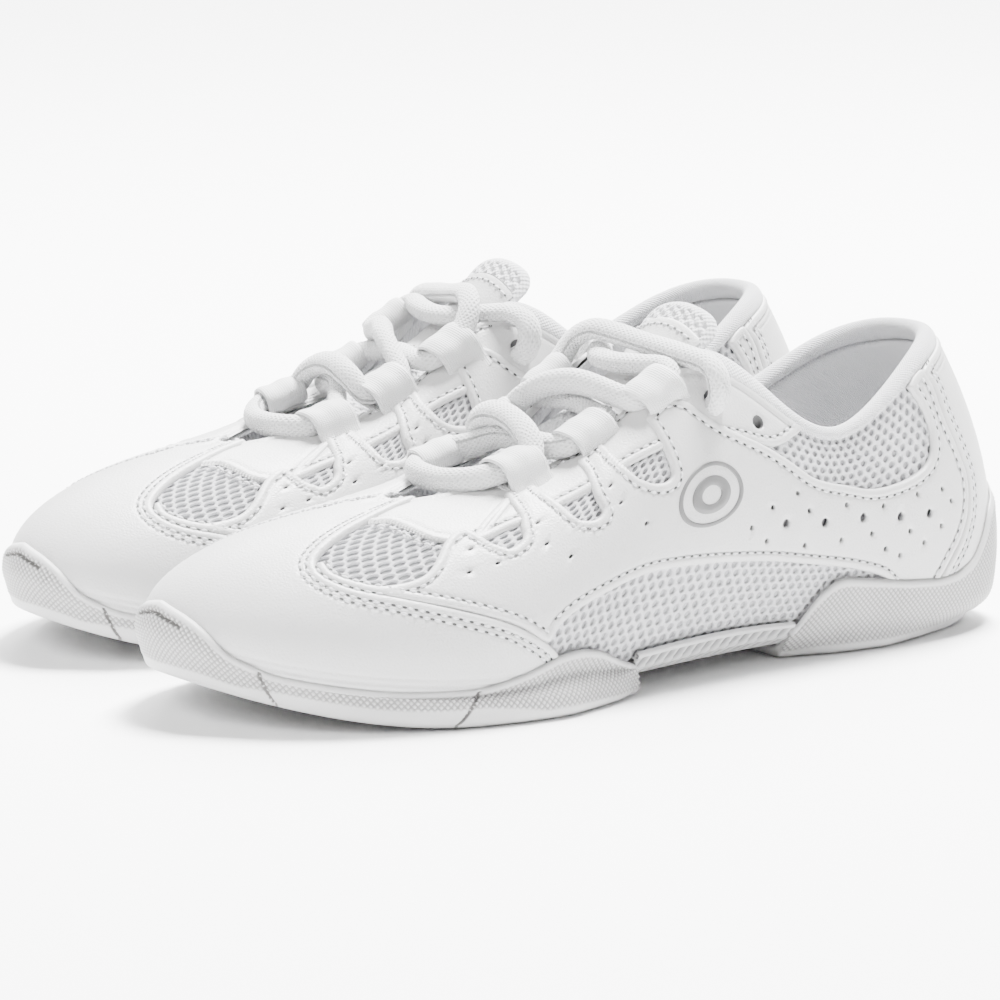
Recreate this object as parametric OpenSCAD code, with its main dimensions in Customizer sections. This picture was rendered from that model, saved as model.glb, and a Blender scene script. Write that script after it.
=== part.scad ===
// Pair of low-cut cheer shoes: moulded two-piece outsole, stitched leather and mesh upper,
// padded tongue and collar, ribbon lace loops and one round lace per shoe.
// The left shoe is designed in its own frame (toe towards -Y, lateral side +X, sole on z = 0)
// and the right shoe is its mirror image.

/* [Pair] */
// Distance between the centre lines of the two shoes
pair_gap = 95; // [95:1:140]
// How far the right shoe stands behind the left one
pair_stagger = 8; // [-10:1:30]
// How far the right shoe's toe turns out, in degrees
pair_toe_out = 3; // [0:1:10]

/* [Upper] */
// Thickness of the textile lining
lining_t = 1; // [0.8:0.1:1.2]
// Thickness of the mesh and of the stiffeners in its layer
mesh_t = 0.8; // [0.6:0.1:1]
// Thickness of the leather overlays
leather_t = 1.4; // [1:0.1:1.6]
// Thickness of the inner eyestay band
eyestay_t = 0.7; // [0.5:0.1:1]
// Thickness of the padding inside the collar roll
collar_pad = 2.5; // [1.5:0.5:3]

/* [Sole] */
// Thickness of the outsole's tread
tread_t = 3; // [2.5:0.5:3.5]
// Thickness of the outsole's rim where it wraps the upper
rim_t = 1.2; // [1:0.1:1.6]
// Underside of the arch bridge above the floor
arch_h = 4.4; // [4:0.2:5]
// Thickness of the lasting board
board_t = 2; // [1.5:0.5:2.5]
// Thickness of the sockliner
sock_t = 3.4; // [2:0.2:4]

/* [Lacing] */
// Diameter of the lace
lace_d = 6; // [5:0.5:6]
// Width of a ribbon loop
loop_w = 12; // [9:0.5:13]
// Thickness of the ribbon
ribbon_t = 0.8; // [0.6:0.1:1]
// Diameter of an eyelet hole
eyelet_d = 5; // [4:0.5:5]

/* [Badge] */
// Diameter of the round side badge
badge_d = 19; // [16:1:20]

/* [Hidden] */

// Middle of the pair's footprint, moved to the origin
pair_mid = [-48.773, 1.998, 0];

// Layer limits, measured outwards from the foot's surface
// The foot's surface is where the leather's outer face should be; every layer is moved in
inset = 3;
mesh_0 = lining_t;
mesh_1 = mesh_0 + mesh_t;
leather_1 = mesh_1 + leather_t;
rim_0 = leather_1 + 0.1;
rim_1 = rim_0 + rim_t;

// ---------------------------------------------------------------- the foot's surface
// Stations run from the heel centre (0) round the lateral side to the toe centre (8).
// Each is a curve from the feather line at the sole to the top edge: its end points and
// the two handles between them. x is the half width before the shoe's inward swing.
stations = [
    [[0, 129, 9], [0, 132, 36], [0, 125, 64], [0, 112, 84]],
    [[19, 123, 8], [22, 127, 34], [18, 119, 60], [13, 107, 83]],
    [[30, 97, 7], [35, 99, 32], [30, 96, 56], [24, 90, 76]],
    [[30, 60, 7], [37, 60, 28], [36, 64, 48], [29, 64, 63]],
    [[30, 20, 8], [38, 22, 32], [37, 34, 54], [25, 43, 71]],
    [[40, -25, 7], [47, -22, 32], [38, -4, 60], [19, 16, 86]],
    [[46, -65, 7], [54, -62, 28], [36, -40, 54], [16, -13, 66]],
    [[34, -110, 12], [41, -112, 32], [26, -90, 47], [12, -44, 56]],
    [[0, -133, 18], [0, -139, 35], [0, -116, 47], [0, -66, 52]]
];
around = 16;
toe = 8;
// The medial side is a little slimmer below the top edge
slim = [1, 0.98, 0.97, 0.97, 0.94, 0.91, 0.9, 0.95];
medial = [for (k = [toe - 1:-1:1]) [for (r = [0:3]) let(p = stations[k][r])
    [-p.x * (r < 3 ? slim[k] : 1), p.y, p.z]]];
hoop = concat(stations, medial);

// Weights that turn the stations into control points of a cubic B-spline through them
reach = 7;
pole = sqrt(3) - 2;
raw_weights = [for (k = [-reach:reach]) pow(pole, abs(k))];
function total(v, i = 0) = i == len(v) - 1 ? v[i] : v[i] + total(v, i + 1);
weights = raw_weights / total(raw_weights);
control = [for (i = [0:around - 1]) [for (r = [0:3])
    weights * [for (k = [-reach:reach]) hoop[(i + k + 2 * around) % around][r]]]];

function spline(t) = [pow(1 - t, 3), 3 * pow(t, 3) - 6 * t * t + 4,
    -3 * pow(t, 3) + 3 * t * t + 3 * t + 1, pow(t, 3)] / 6;
function bezier(p, v) = pow(1 - v, 3) * p[0] + 3 * pow(1 - v, 2) * v * p[1]
    + 3 * (1 - v) * v * v * p[2] + pow(v, 3) * p[3];

// Sideways swing of the centre line: out at the waist, in at the toe
function swing(y) = 3 * exp(-pow((y - 15) / 45, 2))
    - 8 * pow(min(max((-y - 55) / 80, 0), 1.2), 1.6);
function swung(p) = [p.x + swing(p.y), p.y, p.z];
function foot(u, v) = let(i = floor(u), w = spline(u - i))
    swung(bezier([for (r = [0:3])
        w * [for (k = [0:3]) control[(i - 1 + k + 2 * around) % around][r]]], v));

function unit(v) = v / norm(v);
step = 0.001;
function skin(u, v, d) = let(
    p = foot(u, v),
    n = unit(cross(foot(u, v + step) - p, foot(u + step, v) - p))) p + n * (d - inset);

// ---------------------------------------------------------------- solids on the surface
function quad(a, b, c, d) = [[a, b, c], [a, c, d]];
function join(lists) = [for (l = lists) for (e = l) e];

// A closed solid from two grids of points, an inner and an outer one
module plate(inner, outer) {
    m = len(inner);
    n = len(inner[0]);
    all = concat(join(inner), join(outer));
    in_id = function (i, j) i * n + j;
    out_id = function (i, j) m * n + i * n + j;
    faces = join(concat(
        [for (i = [0:m - 2]) for (j = [0:n - 2])
            quad(out_id(i, j), out_id(i + 1, j), out_id(i + 1, j + 1), out_id(i, j + 1))],
        [for (i = [0:m - 2]) for (j = [0:n - 2])
            quad(in_id(i, j), in_id(i, j + 1), in_id(i + 1, j + 1), in_id(i + 1, j))],
        [for (i = [0:m - 2])
            quad(in_id(i, 0), in_id(i + 1, 0), out_id(i + 1, 0), out_id(i, 0))],
        [for (i = [0:m - 2])
            quad(out_id(i, n - 1), out_id(i + 1, n - 1), in_id(i + 1, n - 1), in_id(i, n - 1))],
        [for (j = [0:n - 2])
            quad(in_id(0, j), out_id(0, j), out_id(0, j + 1), in_id(0, j + 1))],
        [for (j = [0:n - 2])
            quad(out_id(m - 1, j), in_id(m - 1, j), in_id(m - 1, j + 1), out_id(m - 1, j + 1))]));
    polyhedron(all, faces);
}

// A panel of the upper between two outlines, each a list of [station, height] pairs
module panel(low, high, rows, d0, d1) {
    grid = [for (i = [0:len(low) - 1]) [for (j = [0:rows])
        low[i] + (high[i] - low[i]) * j / rows]];
    plate([for (line = grid) [for (g = line) skin(g[0], g[1], d0)]],
        [for (line = grid) [for (g = line) skin(g[0], g[1], d1)]]);
}

// A solid through rings of points, closed at both ends by strips between mirrored points.
// After each station in gaps the ring stops: the profile there is closed by the triangles in
// cap, and a wall across the shoe joins its first and last points to the next station's
module loft(rings, gaps = [], cap = []) {
    n = len(rings[0]);
    last = (len(rings) - 1) * n;
    open = function (k) len([for (g = gaps) if (g == k) g]) > 0;
    sides = [for (r = [0:len(rings) - 2]) for (k = [0:n - 1]) if (!open(k)) let(k2 = (k + 1) % n)
        quad(r * n + k, r * n + k2, (r + 1) * n + k2, (r + 1) * n + k)];
    walls = [for (k = gaps) let(k2 = (k + 1) % n) concat(
        quad(k, k2, last + k2, last + k),
        [for (t = cap) [for (r = backwards(t)) r * n + k]],
        [for (t = cap) [for (r = t) r * n + k2]])];
    top = [for (k = [0:n / 2 - 2])
        quad(last + k, last + k + 1, last + n - 2 - k, last + n - 1 - k)];
    bottom = [for (k = [0:n / 2 - 2]) quad(n - 1 - k, n - 2 - k, k + 1, k)];
    polyhedron(join(rings), join(concat(sides, walls, top, bottom)));
}

function flip(u) = around - u;
function flip_list(list) = [for (g = list) [flip(g[0]), g[1]]];
function backwards(list) = [for (i = [len(list) - 1:-1:0]) list[i]];
function row(u0, u1, n, v) = [for (i = [0:n]) [u0 + (u1 - u0) * i / n, v]];

// A left-side outline carried over to the medial side, in the same order round the shoe
function other_side(list) = backwards(flip_list(list));

// ---------------------------------------------------------------- outlines of the panels
// Edge of the toe cap: up from the sole, round the toe window and along the middle strip
toe_cap_edge = [
    [5.45, 0], [5.55, 0.12], [5.7, 0.19], [6.05, 0.29], [6.4, 0.365], [6.72, 0.42],
    [7, 0.465], [7.2, 0.52], [7.32, 0.59], [7.38, 0.67], [7.41, 0.76], [7.44, 0.84],
    [7.5, 0.92], [7.6, 1]
];
// Edge of the heel stay, from the collar down to the sole
stay_edge = [
    [1.8, 0.94], [1.74, 0.86], [1.74, 0.74], [1.66, 0.6], [1.6, 0.48], [1.66, 0.36],
    [1.78, 0.27], [1.92, 0.2], [2.1, 0.1], [2.3, 0]
];
// The quarter as lines across it, each from its lower edge to its upper edge, as
// [station, height, station, height]. The lower edge runs down the heel stay, along the
// sole, over the arch window and along the toe cap. The upper edge runs round the collar
// window, over three slanted lace lugs and the notches between them, and the toe window.
quarter_lines = [
    [1.8, 0.93, 2.05, 0.93], [1.74, 0.86, 2.02, 0.85], [1.74, 0.74, 1.99, 0.76],
    [1.66, 0.6, 2, 0.69], [1.6, 0.48, 2.05, 0.63], [1.66, 0.36, 2.15, 0.595],
    [1.78, 0.27, 2.3, 0.585], [1.92, 0.2, 2.45, 0.59], [2.1, 0.1, 2.6, 0.6],
    [2.3, 0, 2.75, 0.62], [2.45, 0, 2.9, 0.645], [2.52, 0.1, 3, 0.66],
    [2.6, 0.18, 3.15, 0.68], [2.8, 0.24, 3.4, 0.71], [3.1, 0.285, 3.65, 0.745],
    [3.5, 0.315, 3.95, 0.775], [3.8, 0.325, 4.3, 0.795], [4.06, 0.33, 4.65, 0.815],
    [4.18, 0.33, 5.03, 0.88], [4.4, 0.335, 5.35, 0.86], [4.56, 0.335, 5.02, 0.62],
    [4.72, 0.333, 5.33, 0.68], [4.82, 0.33, 5.85, 0.905], [5.02, 0.325, 6.03, 0.885],
    [5.18, 0.31, 5.65, 0.59], [5.32, 0.3, 6, 0.71], [5.42, 0.285, 6.45, 0.905],
    [5.58, 0.25, 6.58, 0.865], [5.7, 0.19, 6.24, 0.59], [5.85, 0.24, 6.5, 0.67],
    [5.98, 0.275, 6.66, 0.715], [6.12, 0.305, 6.69, 0.65], [6.32, 0.35, 6.66, 0.56],
    [6.5, 0.385, 6.7, 0.5], [6.72, 0.42, 6.85, 0.475], [7, 0.465, 7, 0.495],
    [7.18, 0.51, 7.16, 0.53], [7.3, 0.575, 7.27, 0.585]
];
quarter_low = [for (g = quarter_lines) [g[0], g[1]]];
quarter_high = [for (g = quarter_lines) [g[2], g[3]]];
// Inner band along the throat, which ends in the rounded tab under the collar
eyestay_low = [
    [6.5, 0.66], [6.3, 0.67], [6, 0.7], [5.78, 0.705], [5.45, 0.715], [5.12, 0.72],
    [4.8, 0.74], [4.5, 0.76], [4.1, 0.79], [3.93, 0.84], [3.83, 0.89], [3.75, 0.92]
];
eyestay_high = [
    [6.5, 1], [6.3, 1], [6, 1], [5.75, 1], [5.5, 1], [5.25, 0.99], [5, 0.955], [4.75, 0.94],
    [4.5, 0.94], [4.25, 0.94], [4, 0.94], [3.75, 0.94]
];
// Leather strip across the front of the throat
strip_low = [[6.5, 0.66], [6.73, 0.68], [7.05, 0.77], [7.25, 0.82], [7.38, 0.83]];
strip_high = [[6.5, 1], [6.85, 1], [7.15, 1], [7.35, 1], [7.56, 0.99]];
collar_top = 0.93;
badge_at = [4.53, 0.57];

// ---------------------------------------------------------------- the sole
ball_y = -70;
toe_spring = 0.003;
heel_y = 105;
heel_bevel = 0.0057;
// Height of the sole's underside: flat, sprung up at the toe, bevelled at the heel
function ground(y) = toe_spring * pow(max(ball_y - y, 0), 2)
    + heel_bevel * pow(max(y - heel_y, 0), 2);

// Distance from the feather line out to the tread's edge, by station
flare = [
    [0, -5], [1.5, -4], [2, -2], [2.6, 3], [3, 2], [3.5, -3], [4.1, -3], [4.78, 2], [5, 5],
    [5.5, 7.5], [6, 5], [6.5, 3], [7, 1], [8, 0.5]
];
flare_in = 3;
function inner(u) = u > toe || u < 0;
function spread(u) = let(f = lookup(fold(u), flare)) inset + (inner(u) ? min(f, flare_in) : f);
// Height of the outsole's rim on the upper, by station
rim_fore = [
    [4.78, 0], [4.95, 0.04], [5.15, 0.09], [5.35, 0.115], [5.55, 0.115], [5.8, 0.075],
    [6.1, 0.03], [6.6, 0.012], [7.2, 0.02], [7.45, 0.07], [7.6, 0.16], [7.75, 0.21],
    [8, 0.25]
];
rim_heel = [
    [0, 0.36], [0.9, 0.35], [1.25, 0.3], [1.42, 0.22], [1.6, 0.15], [1.85, 0.12],
    [2.08, 0.12], [2.43, 0.15], [2.75, 0.19], [3.03, 0.22], [3.15, 0.2], [3.3, 0.12],
    [3.38, 0.03], [3.45, 0]
];
function fold(u) = u > toe ? flip(u) : abs(u);
function half_steps(u0, u1, n) = [for (k = [0:n - 1]) u0 + (u1 - u0) * k / (n - 1)];

// A point level with the floor, out from the feather line by d
function base(u, d, z) = let(
    p = foot(u, 0),
    s = foot(u + step, 0) - p,
    n = unit([-s.y, s.x, 0])) [p.x + n.x * (d - inset), p.y + n.y * (d - inset), z];
function tread(u, d, z) = let(p = base(u, spread(u) + d, 0))
    [p.x, p.y, ground(p.y) + z];
function sole_floor(u, d, z) = let(p = base(u, d, 0)) [p.x, p.y, ground(p.y) + z];
function feather(u, d, z) = base(u, d, foot(u, 0).z + z);

// Half an outsole: tread, side wall, rim on the upper and the floor inside
module cup(us, rim) {
    rim_at = function (u) lookup(fold(u), rim);
    loft([
        [for (u = us) tread(u, -3.5, 0)],
        [for (u = us) tread(u, -0.8, 0.6)],
        [for (u = us) tread(u, 0.2, 2.2)],
        [for (u = us) feather(u, max(spread(u) - 0.4, rim_1 + 0.1), -0.6)],
        [for (u = us) skin(u, rim_at(u) * 0.5, rim_1 + 0.3)],
        [for (u = us) skin(u, rim_at(u), rim_1)],
        [for (u = us) skin(u, rim_at(u) + 0.012, rim_0)],
        [for (u = us) skin(u, -0.02, rim_0)],
        [for (u = us) sole_floor(u, -2.5, tread_t)]
    ], [len(us) - 1],
    [[0, 1, 8], [1, 2, 8], [2, 7, 8], [2, 3, 7], [3, 6, 7], [3, 4, 6], [4, 5, 6]]);
}

fore_end = 4.78;
heel_end = 3.45;
fore_us = half_steps(fore_end, flip(fore_end), 34);
heel_us = half_steps(-heel_end, heel_end, 26);

module outsole_forefoot() {
    color("white") cup(fore_us, rim_fore);
}

module outsole_heel() {
    color("white") cup(heel_us, rim_heel);
}

// Ribbed shank between the two outsoles
module arch_bridge() {
    us = concat(half_steps(heel_end, fore_end, 7), half_steps(flip(fore_end), flip(heel_end), 7));
    color("gainsboro") loft([
        [for (u = us) base(u, -3, arch_h - 0.2)],
        [for (u = us) base(u, 1, arch_h)],
        [for (u = us) skin(u, 0.045, rim_1)],
        [for (u = us) skin(u, 0.055, rim_0)],
        [for (u = us) skin(u, -0.02, rim_0)],
        [for (u = us) base(u, -2.5, 6.4)]
    ], [6, 13], [[0, 1, 5], [1, 4, 5], [1, 2, 4], [2, 3, 4]]);
}

cushion_gap = 0.55;
module cushion(us) {
    loft([
        [for (u = us) sole_floor(u, -3, tread_t + 0.05)],
        [for (u = us) feather(u, -3, -cushion_gap)]
    ]);
}

module forefoot_cushion() {
    color("whitesmoke") cushion(half_steps(fore_end + 0.1, flip(fore_end + 0.1), 30));
}

module heel_wedge() {
    color("whitesmoke") cushion(half_steps(0.05 - heel_end, heel_end - 0.05, 26));
}

whole_us = [for (k = [0:35]) (k + 0.5) * around / 36];
module lasting_board() {
    color("tan") loft([
        [for (u = whole_us) feather(u, -0.8, -0.5)],
        [for (u = whole_us) feather(u, -0.8, board_t - 0.5)]
    ]);
}

module sockliner() {
    z0 = board_t - 0.45;
    color("lightgrey") loft([
        [for (u = whole_us) feather(u, -1.6, z0)],
        [for (u = whole_us) feather(u, -0.8, z0 + 1)],
        [for (u = whole_us) feather(u, -2, z0 + sock_t)]
    ]);
}

// ---------------------------------------------------------------- the upper
module vamp_lining() {
    color("ghostwhite") panel(row(5, 11, 24, 0), row(5, 11, 24, 1), 6, 0, lining_t);
}

module collar_lining() {
    color("ghostwhite") panel(row(-4.98, 4.98, 28, 0), row(-4.98, 4.98, 28, collar_top), 5,
        0, lining_t);
}

module vamp_mesh() {
    color("whitesmoke") panel(row(5.6, 10.4, 16, 0.42), row(5.6, 10.4, 16, 0.99), 4,
        mesh_0, mesh_1);
}

module quarter_mesh_lateral() {
    color("whitesmoke") panel(row(1.9, 5.55, 11, 0), row(1.9, 5.55, 11, collar_top), 5,
        mesh_0, mesh_1);
}

module quarter_mesh_medial() {
    color("whitesmoke") panel(row(flip(5.55), flip(1.9), 11, 0),
        row(flip(5.55), flip(1.9), 11, collar_top), 5, mesh_0, mesh_1);
}

module toe_puff() {
    color("ivory") panel(row(6.3, flip(6.3), 12, 0.03), row(6.3, flip(6.3), 12, 0.4), 2,
        mesh_0, mesh_1);
}

module heel_counter() {
    color("ivory") panel(row(-1.85, 1.85, 8, 0.03), row(-1.85, 1.85, 8, 0.6), 3,
        mesh_0, mesh_1);
}

module toe_cap() {
    high = concat(toe_cap_edge, [[7.8, 1], [8, 1], [8.2, 1]], other_side(toe_cap_edge));
    color("white") panel(row(5.44, flip(5.44), len(high) - 1, -0.01), high, 6, mesh_1, leather_1);
}

module quarter_lateral() {
    color("white") panel(quarter_low, quarter_high, 4, mesh_1, leather_1);
}

module quarter_medial() {
    color("white") panel(other_side(quarter_low), other_side(quarter_high), 4,
        mesh_1, leather_1);
}

// A hole for the lace, square to the surface
module eyelet_hole(u, v) {
    p = skin(u, v, 0);
    n = skin(u, v, 1) - p;
    translate(p) rotate([0, acos(n.z), atan2(n.y, n.x)])
        translate([0, 0, -2]) cylinder(d = eyelet_d, h = 8, $fn = 32);
}

eyelets = [[4.73, 0.88], [4.23, 0.86]];
module eyestay_lateral() {
    color("white") difference() {
        panel(backwards(eyestay_low), backwards(eyestay_high), 2, mesh_1, mesh_1 + eyestay_t);
        for (e = eyelets) eyelet_hole(e[0], e[1]);
    }
}

module eyestay_medial() {
    color("white") difference() {
        panel(flip_list(eyestay_low), flip_list(eyestay_high), 2, mesh_1, mesh_1 + eyestay_t);
        for (e = eyelets) eyelet_hole(flip(e[0]), e[1]);
    }
}

module vamp_strip() {
    color("white") panel(concat(strip_low, other_side(strip_low)),
        concat(strip_high, other_side(strip_high)), 2, mesh_1, mesh_1 + eyestay_t);
}

module heel_stay() {
    other = [for (g = stay_edge) [-g[0], g[1]]];
    color("white") panel(other, stay_edge, 12, mesh_1, leather_1);
}

// Padded roll round the collar's edge
module collar_binding() {
    us = row(-4.98, 4.98, 30, 0);
    inside = [[0.94, -0.6], [0.975, -collar_pad], [1.01, -0.6 * collar_pad], [1.025, 0.5]];
    outside = [[0.945, 2.2], [0.965, 3.2], [0.99, 3.1], [1.02, 2]];
    color("whitesmoke") plate(
        [for (g = us) [for (q = inside) skin(g[0], q[0], q[1])]],
        [for (g = us) [for (q = outside) skin(g[0], q[0], q[1])]]);
}

module side_badge() {
    du = badge_d / 72;
    dv = badge_d / 220;
    turns = [for (k = [-5:5]) k * 16];
    color("silver") panel(
        [for (a = turns) badge_at + [du * sin(a), -dv * cos(a)]],
        [for (a = turns) badge_at + [du * sin(a), dv * cos(a)]],
        4, leather_1 + 0.02, leather_1 + 0.4);
}

// ---------------------------------------------------------------- the tongue
// Cross-sections from the vamp to the top: length position, height, half width,
// fall of the edges, thickness
tongue_rows = [
    [-58, 46.3, 9, 1.2, 2.5], [-50, 49.8, 12, 4, 3], [-40, 55.8, 15, 9.5, 3.5],
    [-28, 61.5, 17, 12.5, 4], [-15, 66.8, 18.5, 13.2, 4.5], [-4, 72, 18.5, 12.6, 5],
    [6, 77.8, 16.8, 11, 4.7], [13, 83.1, 15, 8, 4.6], [18, 87.5, 14.2, 4.9, 4.6],
    [23, 92.6, 15.9, 4.6, 5], [28, 97.6, 16.8, 5.2, 4]
];
tongue_cols = [for (k = [-4:4]) k / 4];
function tongue_point(i, s, d) = let(
    r = tongue_rows[i],
    a = tongue_rows[max(i - 1, 0)],
    b = tongue_rows[min(i + 1, len(tongue_rows) - 1)],
    run = unit([b[0] - a[0], b[1] - a[1]]))
    [s * r[2] + swing(r[0]), r[0] - run.y * d, r[1] - r[3] * s * s + run.x * d];

module tongue() {
    rows = [0:len(tongue_rows) - 1];
    color("white") plate(
        [for (i = rows) [for (s = tongue_cols)
            tongue_point(i, s, -tongue_rows[i][4] * (1 - 0.5 * s * s))]],
        [for (i = rows) [for (s = tongue_cols) tongue_point(i, s, 0)]]);
}

// Leather cover on the upper part of the tongue
facing_start = 5;
facing_end = 9;
facing_t = 0.8;
module tongue_facing() {
    rows = [facing_start:facing_end];
    color("white") plate(
        [for (i = rows) [for (s = tongue_cols) tongue_point(i, s * 0.92, 0.05)]],
        [for (i = rows) [for (s = tongue_cols) tongue_point(i, s * 0.92, 0.05 + facing_t)]]);
}

// ---------------------------------------------------------------- the lacing
loop_gap = 0.3;
loop_flat = 4.5;
tail = 5;
// Ribbon loops: centre, rise of the throat's edge and sideways tilt, in degrees
loops_out = [[[17, -38.5, 60.3], 15, 12], [[19.5, -17, 67.2], 25, 22], [[24.5, 1.5, 77.6], 30, 36]];
loops_in = [[[-15.5, -42, 58.4], 15, -12], [[-15.5, -23, 66], 25, -22], [[-18.5, -3, 76], 30, -32]];

module slot(r) {
    square([loop_flat, 2 * r], center = true);
    for (x = [-0.5, 0.5] * loop_flat) translate([x, 0]) circle(r, $fn = 32);
}

module ribbon_loop(at, rise, tilt) {
    inner = lace_d / 2 + loop_gap;
    outward = tilt > 0 ? 1 : -1;
    translate(at) rotate([rise, 0, 0]) rotate([0, tilt, 0]) rotate([90, 0, 0])
        linear_extrude(loop_w, center = true) {
            difference() {
                slot(inner + ribbon_t);
                slot(inner);
            }
            translate([outward * (loop_flat / 2 + tail / 2 + 1), -inner - ribbon_t / 2])
                square([tail, ribbon_t], center = true);
        }
}

module loops_lateral() {
    color("white") for (l = loops_out) ribbon_loop(l[0], l[1], l[2]);
}

module loops_medial() {
    color("white") for (l = loops_in) ribbon_loop(l[0], l[1], l[2]);
}

// The lace, from one tucked end on the insole to the other: up the lateral wall and out of
// the top eyelet, across the tongue and down under the bars to the lowest medial loop, then
// bar by bar up the throat, and in through the medial eyelet
lace_route = [
    [21, -98, 19.5], [28, -88, 18], [33, -74, 16.6], [35, -58, 15.8], [34, -40, 15.6],
    [31.5, -23, 16], [29.5, -8, 18], [29, 4, 24], [29, 13, 35], [28.5, 18, 48],
    [28, 19, 59], [26, 18.5, 65], [26.5, 18, 70.5], [31, 17.8, 73.8], [33.3, 17.2, 77.3],
    [32.4, 16.8, 82], [28, 16.5, 84.4], [21, 15.2, 85.4], [13, 13.5, 86.6],
    [4, 11.5, 87.8], [-4, 9.5, 89], [-11, 7.2, 89.5], [-16.4, 4.8, 86.4],
    [-18.2, 1.6, 80.8], [-18.5, -3, 76], [-17.6, -8.4, 72.9], [-12, -10.2, 72.4],
    [-3, -9.6, 73], [6, -9.2, 72.6], [13, -9.2, 71.2], [17.8, -9.8, 70.6],
    [19.3, -12.8, 69.3], [19.5, -17, 67.2], [18.4, -22.4, 64.8], [13.5, -25.6, 63.8],
    [6, -28, 64.6], [-2, -30.6, 64.6], [-9, -34.6, 61.9], [-14, -37.6, 60.3],
    [-15.5, -42, 58.4], [-14.8, -47.6, 56.8], [-10, -51.6, 56.2], [-2, -53.2, 56],
    [6, -52.6, 56.2], [12.8, -49.4, 57.2], [16.6, -44.4, 58.8], [17, -38.5, 60.3],
    [16.9, -33, 63], [12.8, -31.6, 67.6], [5, -31.4, 70.9], [-3, -31.4, 71.3],
    [-10, -31, 68.8], [-14.8, -28.6, 64.6], [-15.5, -23, 66], [-15, -17.4, 69.2],
    [-9, -16.2, 74], [-1, -14.4, 77.8], [6, -11, 79], [13, -8.4, 78], [19.5, -6.2, 76.4],
    [23.2, -3.4, 75.7], [24.5, 1.5, 77.6], [24.3, 6.6, 81.2], [20.5, 8.2, 83.2],
    [13, 5.8, 82.8], [4, 4.2, 82.4], [-4, 5, 82.6], [-11, 9.5, 83.4], [-19, 15.5, 84.6],
    [-25.5, 18, 82.8], [-28, 18, 78.5], [-26, 17.8, 74.2], [-20.8, 17.8, 70.8],
    [-20.5, 18.5, 64], [-22.5, 19, 58], [-23, 18, 47], [-24, 13, 35], [-24, 4, 24],
    [-25, -8, 18], [-28, -23, 16], [-32, -40, 15.6], [-33.5, -58, 15.8], [-32, -74, 16.6],
    [-28, -88, 18], [-24, -98, 19.5]
];
lace_sides = 8;
aglet_l = 22;
aglet_d = 4.4;

// Frames carried along the route without twisting
function along(k) = unit(lace_route[min(k + 1, len(lace_route) - 1)] - lace_route[max(k - 1, 0)]);
function carry(k, n) = let(t = along(k)) unit(n - (n * t) * t);
lace_side = [for (k = 0, n = carry(0, [0, 0, 1]); k < len(lace_route); k = k + 1,
    n = k < len(lace_route) ? carry(k, n) : n) n];

module lace() {
    last = len(lace_route) - 1;
    rings = [for (k = [0:last]) let(n = lace_side[k], m = cross(along(k), n))
        [for (j = [0:lace_sides - 1]) lace_route[k]
            + lace_d / 2 * (cos(j * 360 / lace_sides) * n + sin(j * 360 / lace_sides) * m)]];
    color("white") polyhedron(
        points = concat([for (r = rings) each r], [lace_route[0], lace_route[last]]),
        faces = concat(
            [for (k = [0:last - 1], j = [0:lace_sides - 1]) let(
                a = k * lace_sides + j, b = k * lace_sides + (j + 1) % lace_sides)
                each [[a, a + lace_sides, b], [b, a + lace_sides, b + lace_sides]]],
            [for (j = [0:lace_sides - 1])
                [(last + 1) * lace_sides, j, (j + 1) % lace_sides]],
            [for (j = [0:lace_sides - 1]) [(last + 1) * lace_sides + 1,
                last * lace_sides + (j + 1) % lace_sides, last * lace_sides + j]]));
}

module tip(end, next) {
    d = unit(end - next);
    translate(end) rotate([0, acos(d.z), atan2(d.y, d.x)])
        translate([0, 0, 0.02]) cylinder(d = aglet_d, h = aglet_l, $fn = 32);
}

module aglets() {
    last = len(lace_route) - 1;
    color("gainsboro") {
        tip(lace_route[0], lace_route[1]);
        tip(lace_route[last], lace_route[last - 1]);
    }
}

// ---------------------------------------------------------------- placing the two shoes
module left() {
    translate(-pair_mid) children();
}

module right() {
    translate(-pair_mid) translate([-pair_gap, pair_stagger, 0])
        rotate([0, 0, -pair_toe_out]) mirror([1, 0, 0]) children();
}

left() outsole_forefoot();  // left_outsole_forefoot
left() outsole_heel();  // left_outsole_heel
left() arch_bridge();  // left_arch_bridge
left() forefoot_cushion();  // left_forefoot_cushion
left() heel_wedge();  // left_heel_wedge
left() lasting_board();  // left_lasting_board
left() sockliner();  // left_sockliner
left() vamp_lining();  // left_vamp_lining
left() collar_lining();  // left_collar_lining
left() vamp_mesh();  // left_vamp_mesh
left() quarter_mesh_lateral();  // left_quarter_mesh_lateral
left() quarter_mesh_medial();  // left_quarter_mesh_medial
left() toe_puff();  // left_toe_puff
left() heel_counter();  // left_heel_counter
left() toe_cap();  // left_toe_cap
left() quarter_lateral();  // left_quarter_lateral
left() quarter_medial();  // left_quarter_medial
left() eyestay_lateral();  // left_eyestay_lateral
left() eyestay_medial();  // left_eyestay_medial
left() vamp_strip();  // left_vamp_strip
left() heel_stay();  // left_heel_stay
left() collar_binding();  // left_collar_binding
left() tongue();  // left_tongue
left() tongue_facing();  // left_tongue_facing
left() loops_lateral();  // left_loops_lateral
left() loops_medial();  // left_loops_medial
left() lace();  // left_lace
left() aglets();  // left_aglets
left() side_badge();  // left_side_badge
right() outsole_forefoot();  // right_outsole_forefoot
right() outsole_heel();  // right_outsole_heel
right() arch_bridge();  // right_arch_bridge
right() forefoot_cushion();  // right_forefoot_cushion
right() heel_wedge();  // right_heel_wedge
right() lasting_board();  // right_lasting_board
right() sockliner();  // right_sockliner
right() vamp_lining();  // right_vamp_lining
right() collar_lining();  // right_collar_lining
right() vamp_mesh();  // right_vamp_mesh
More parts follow.
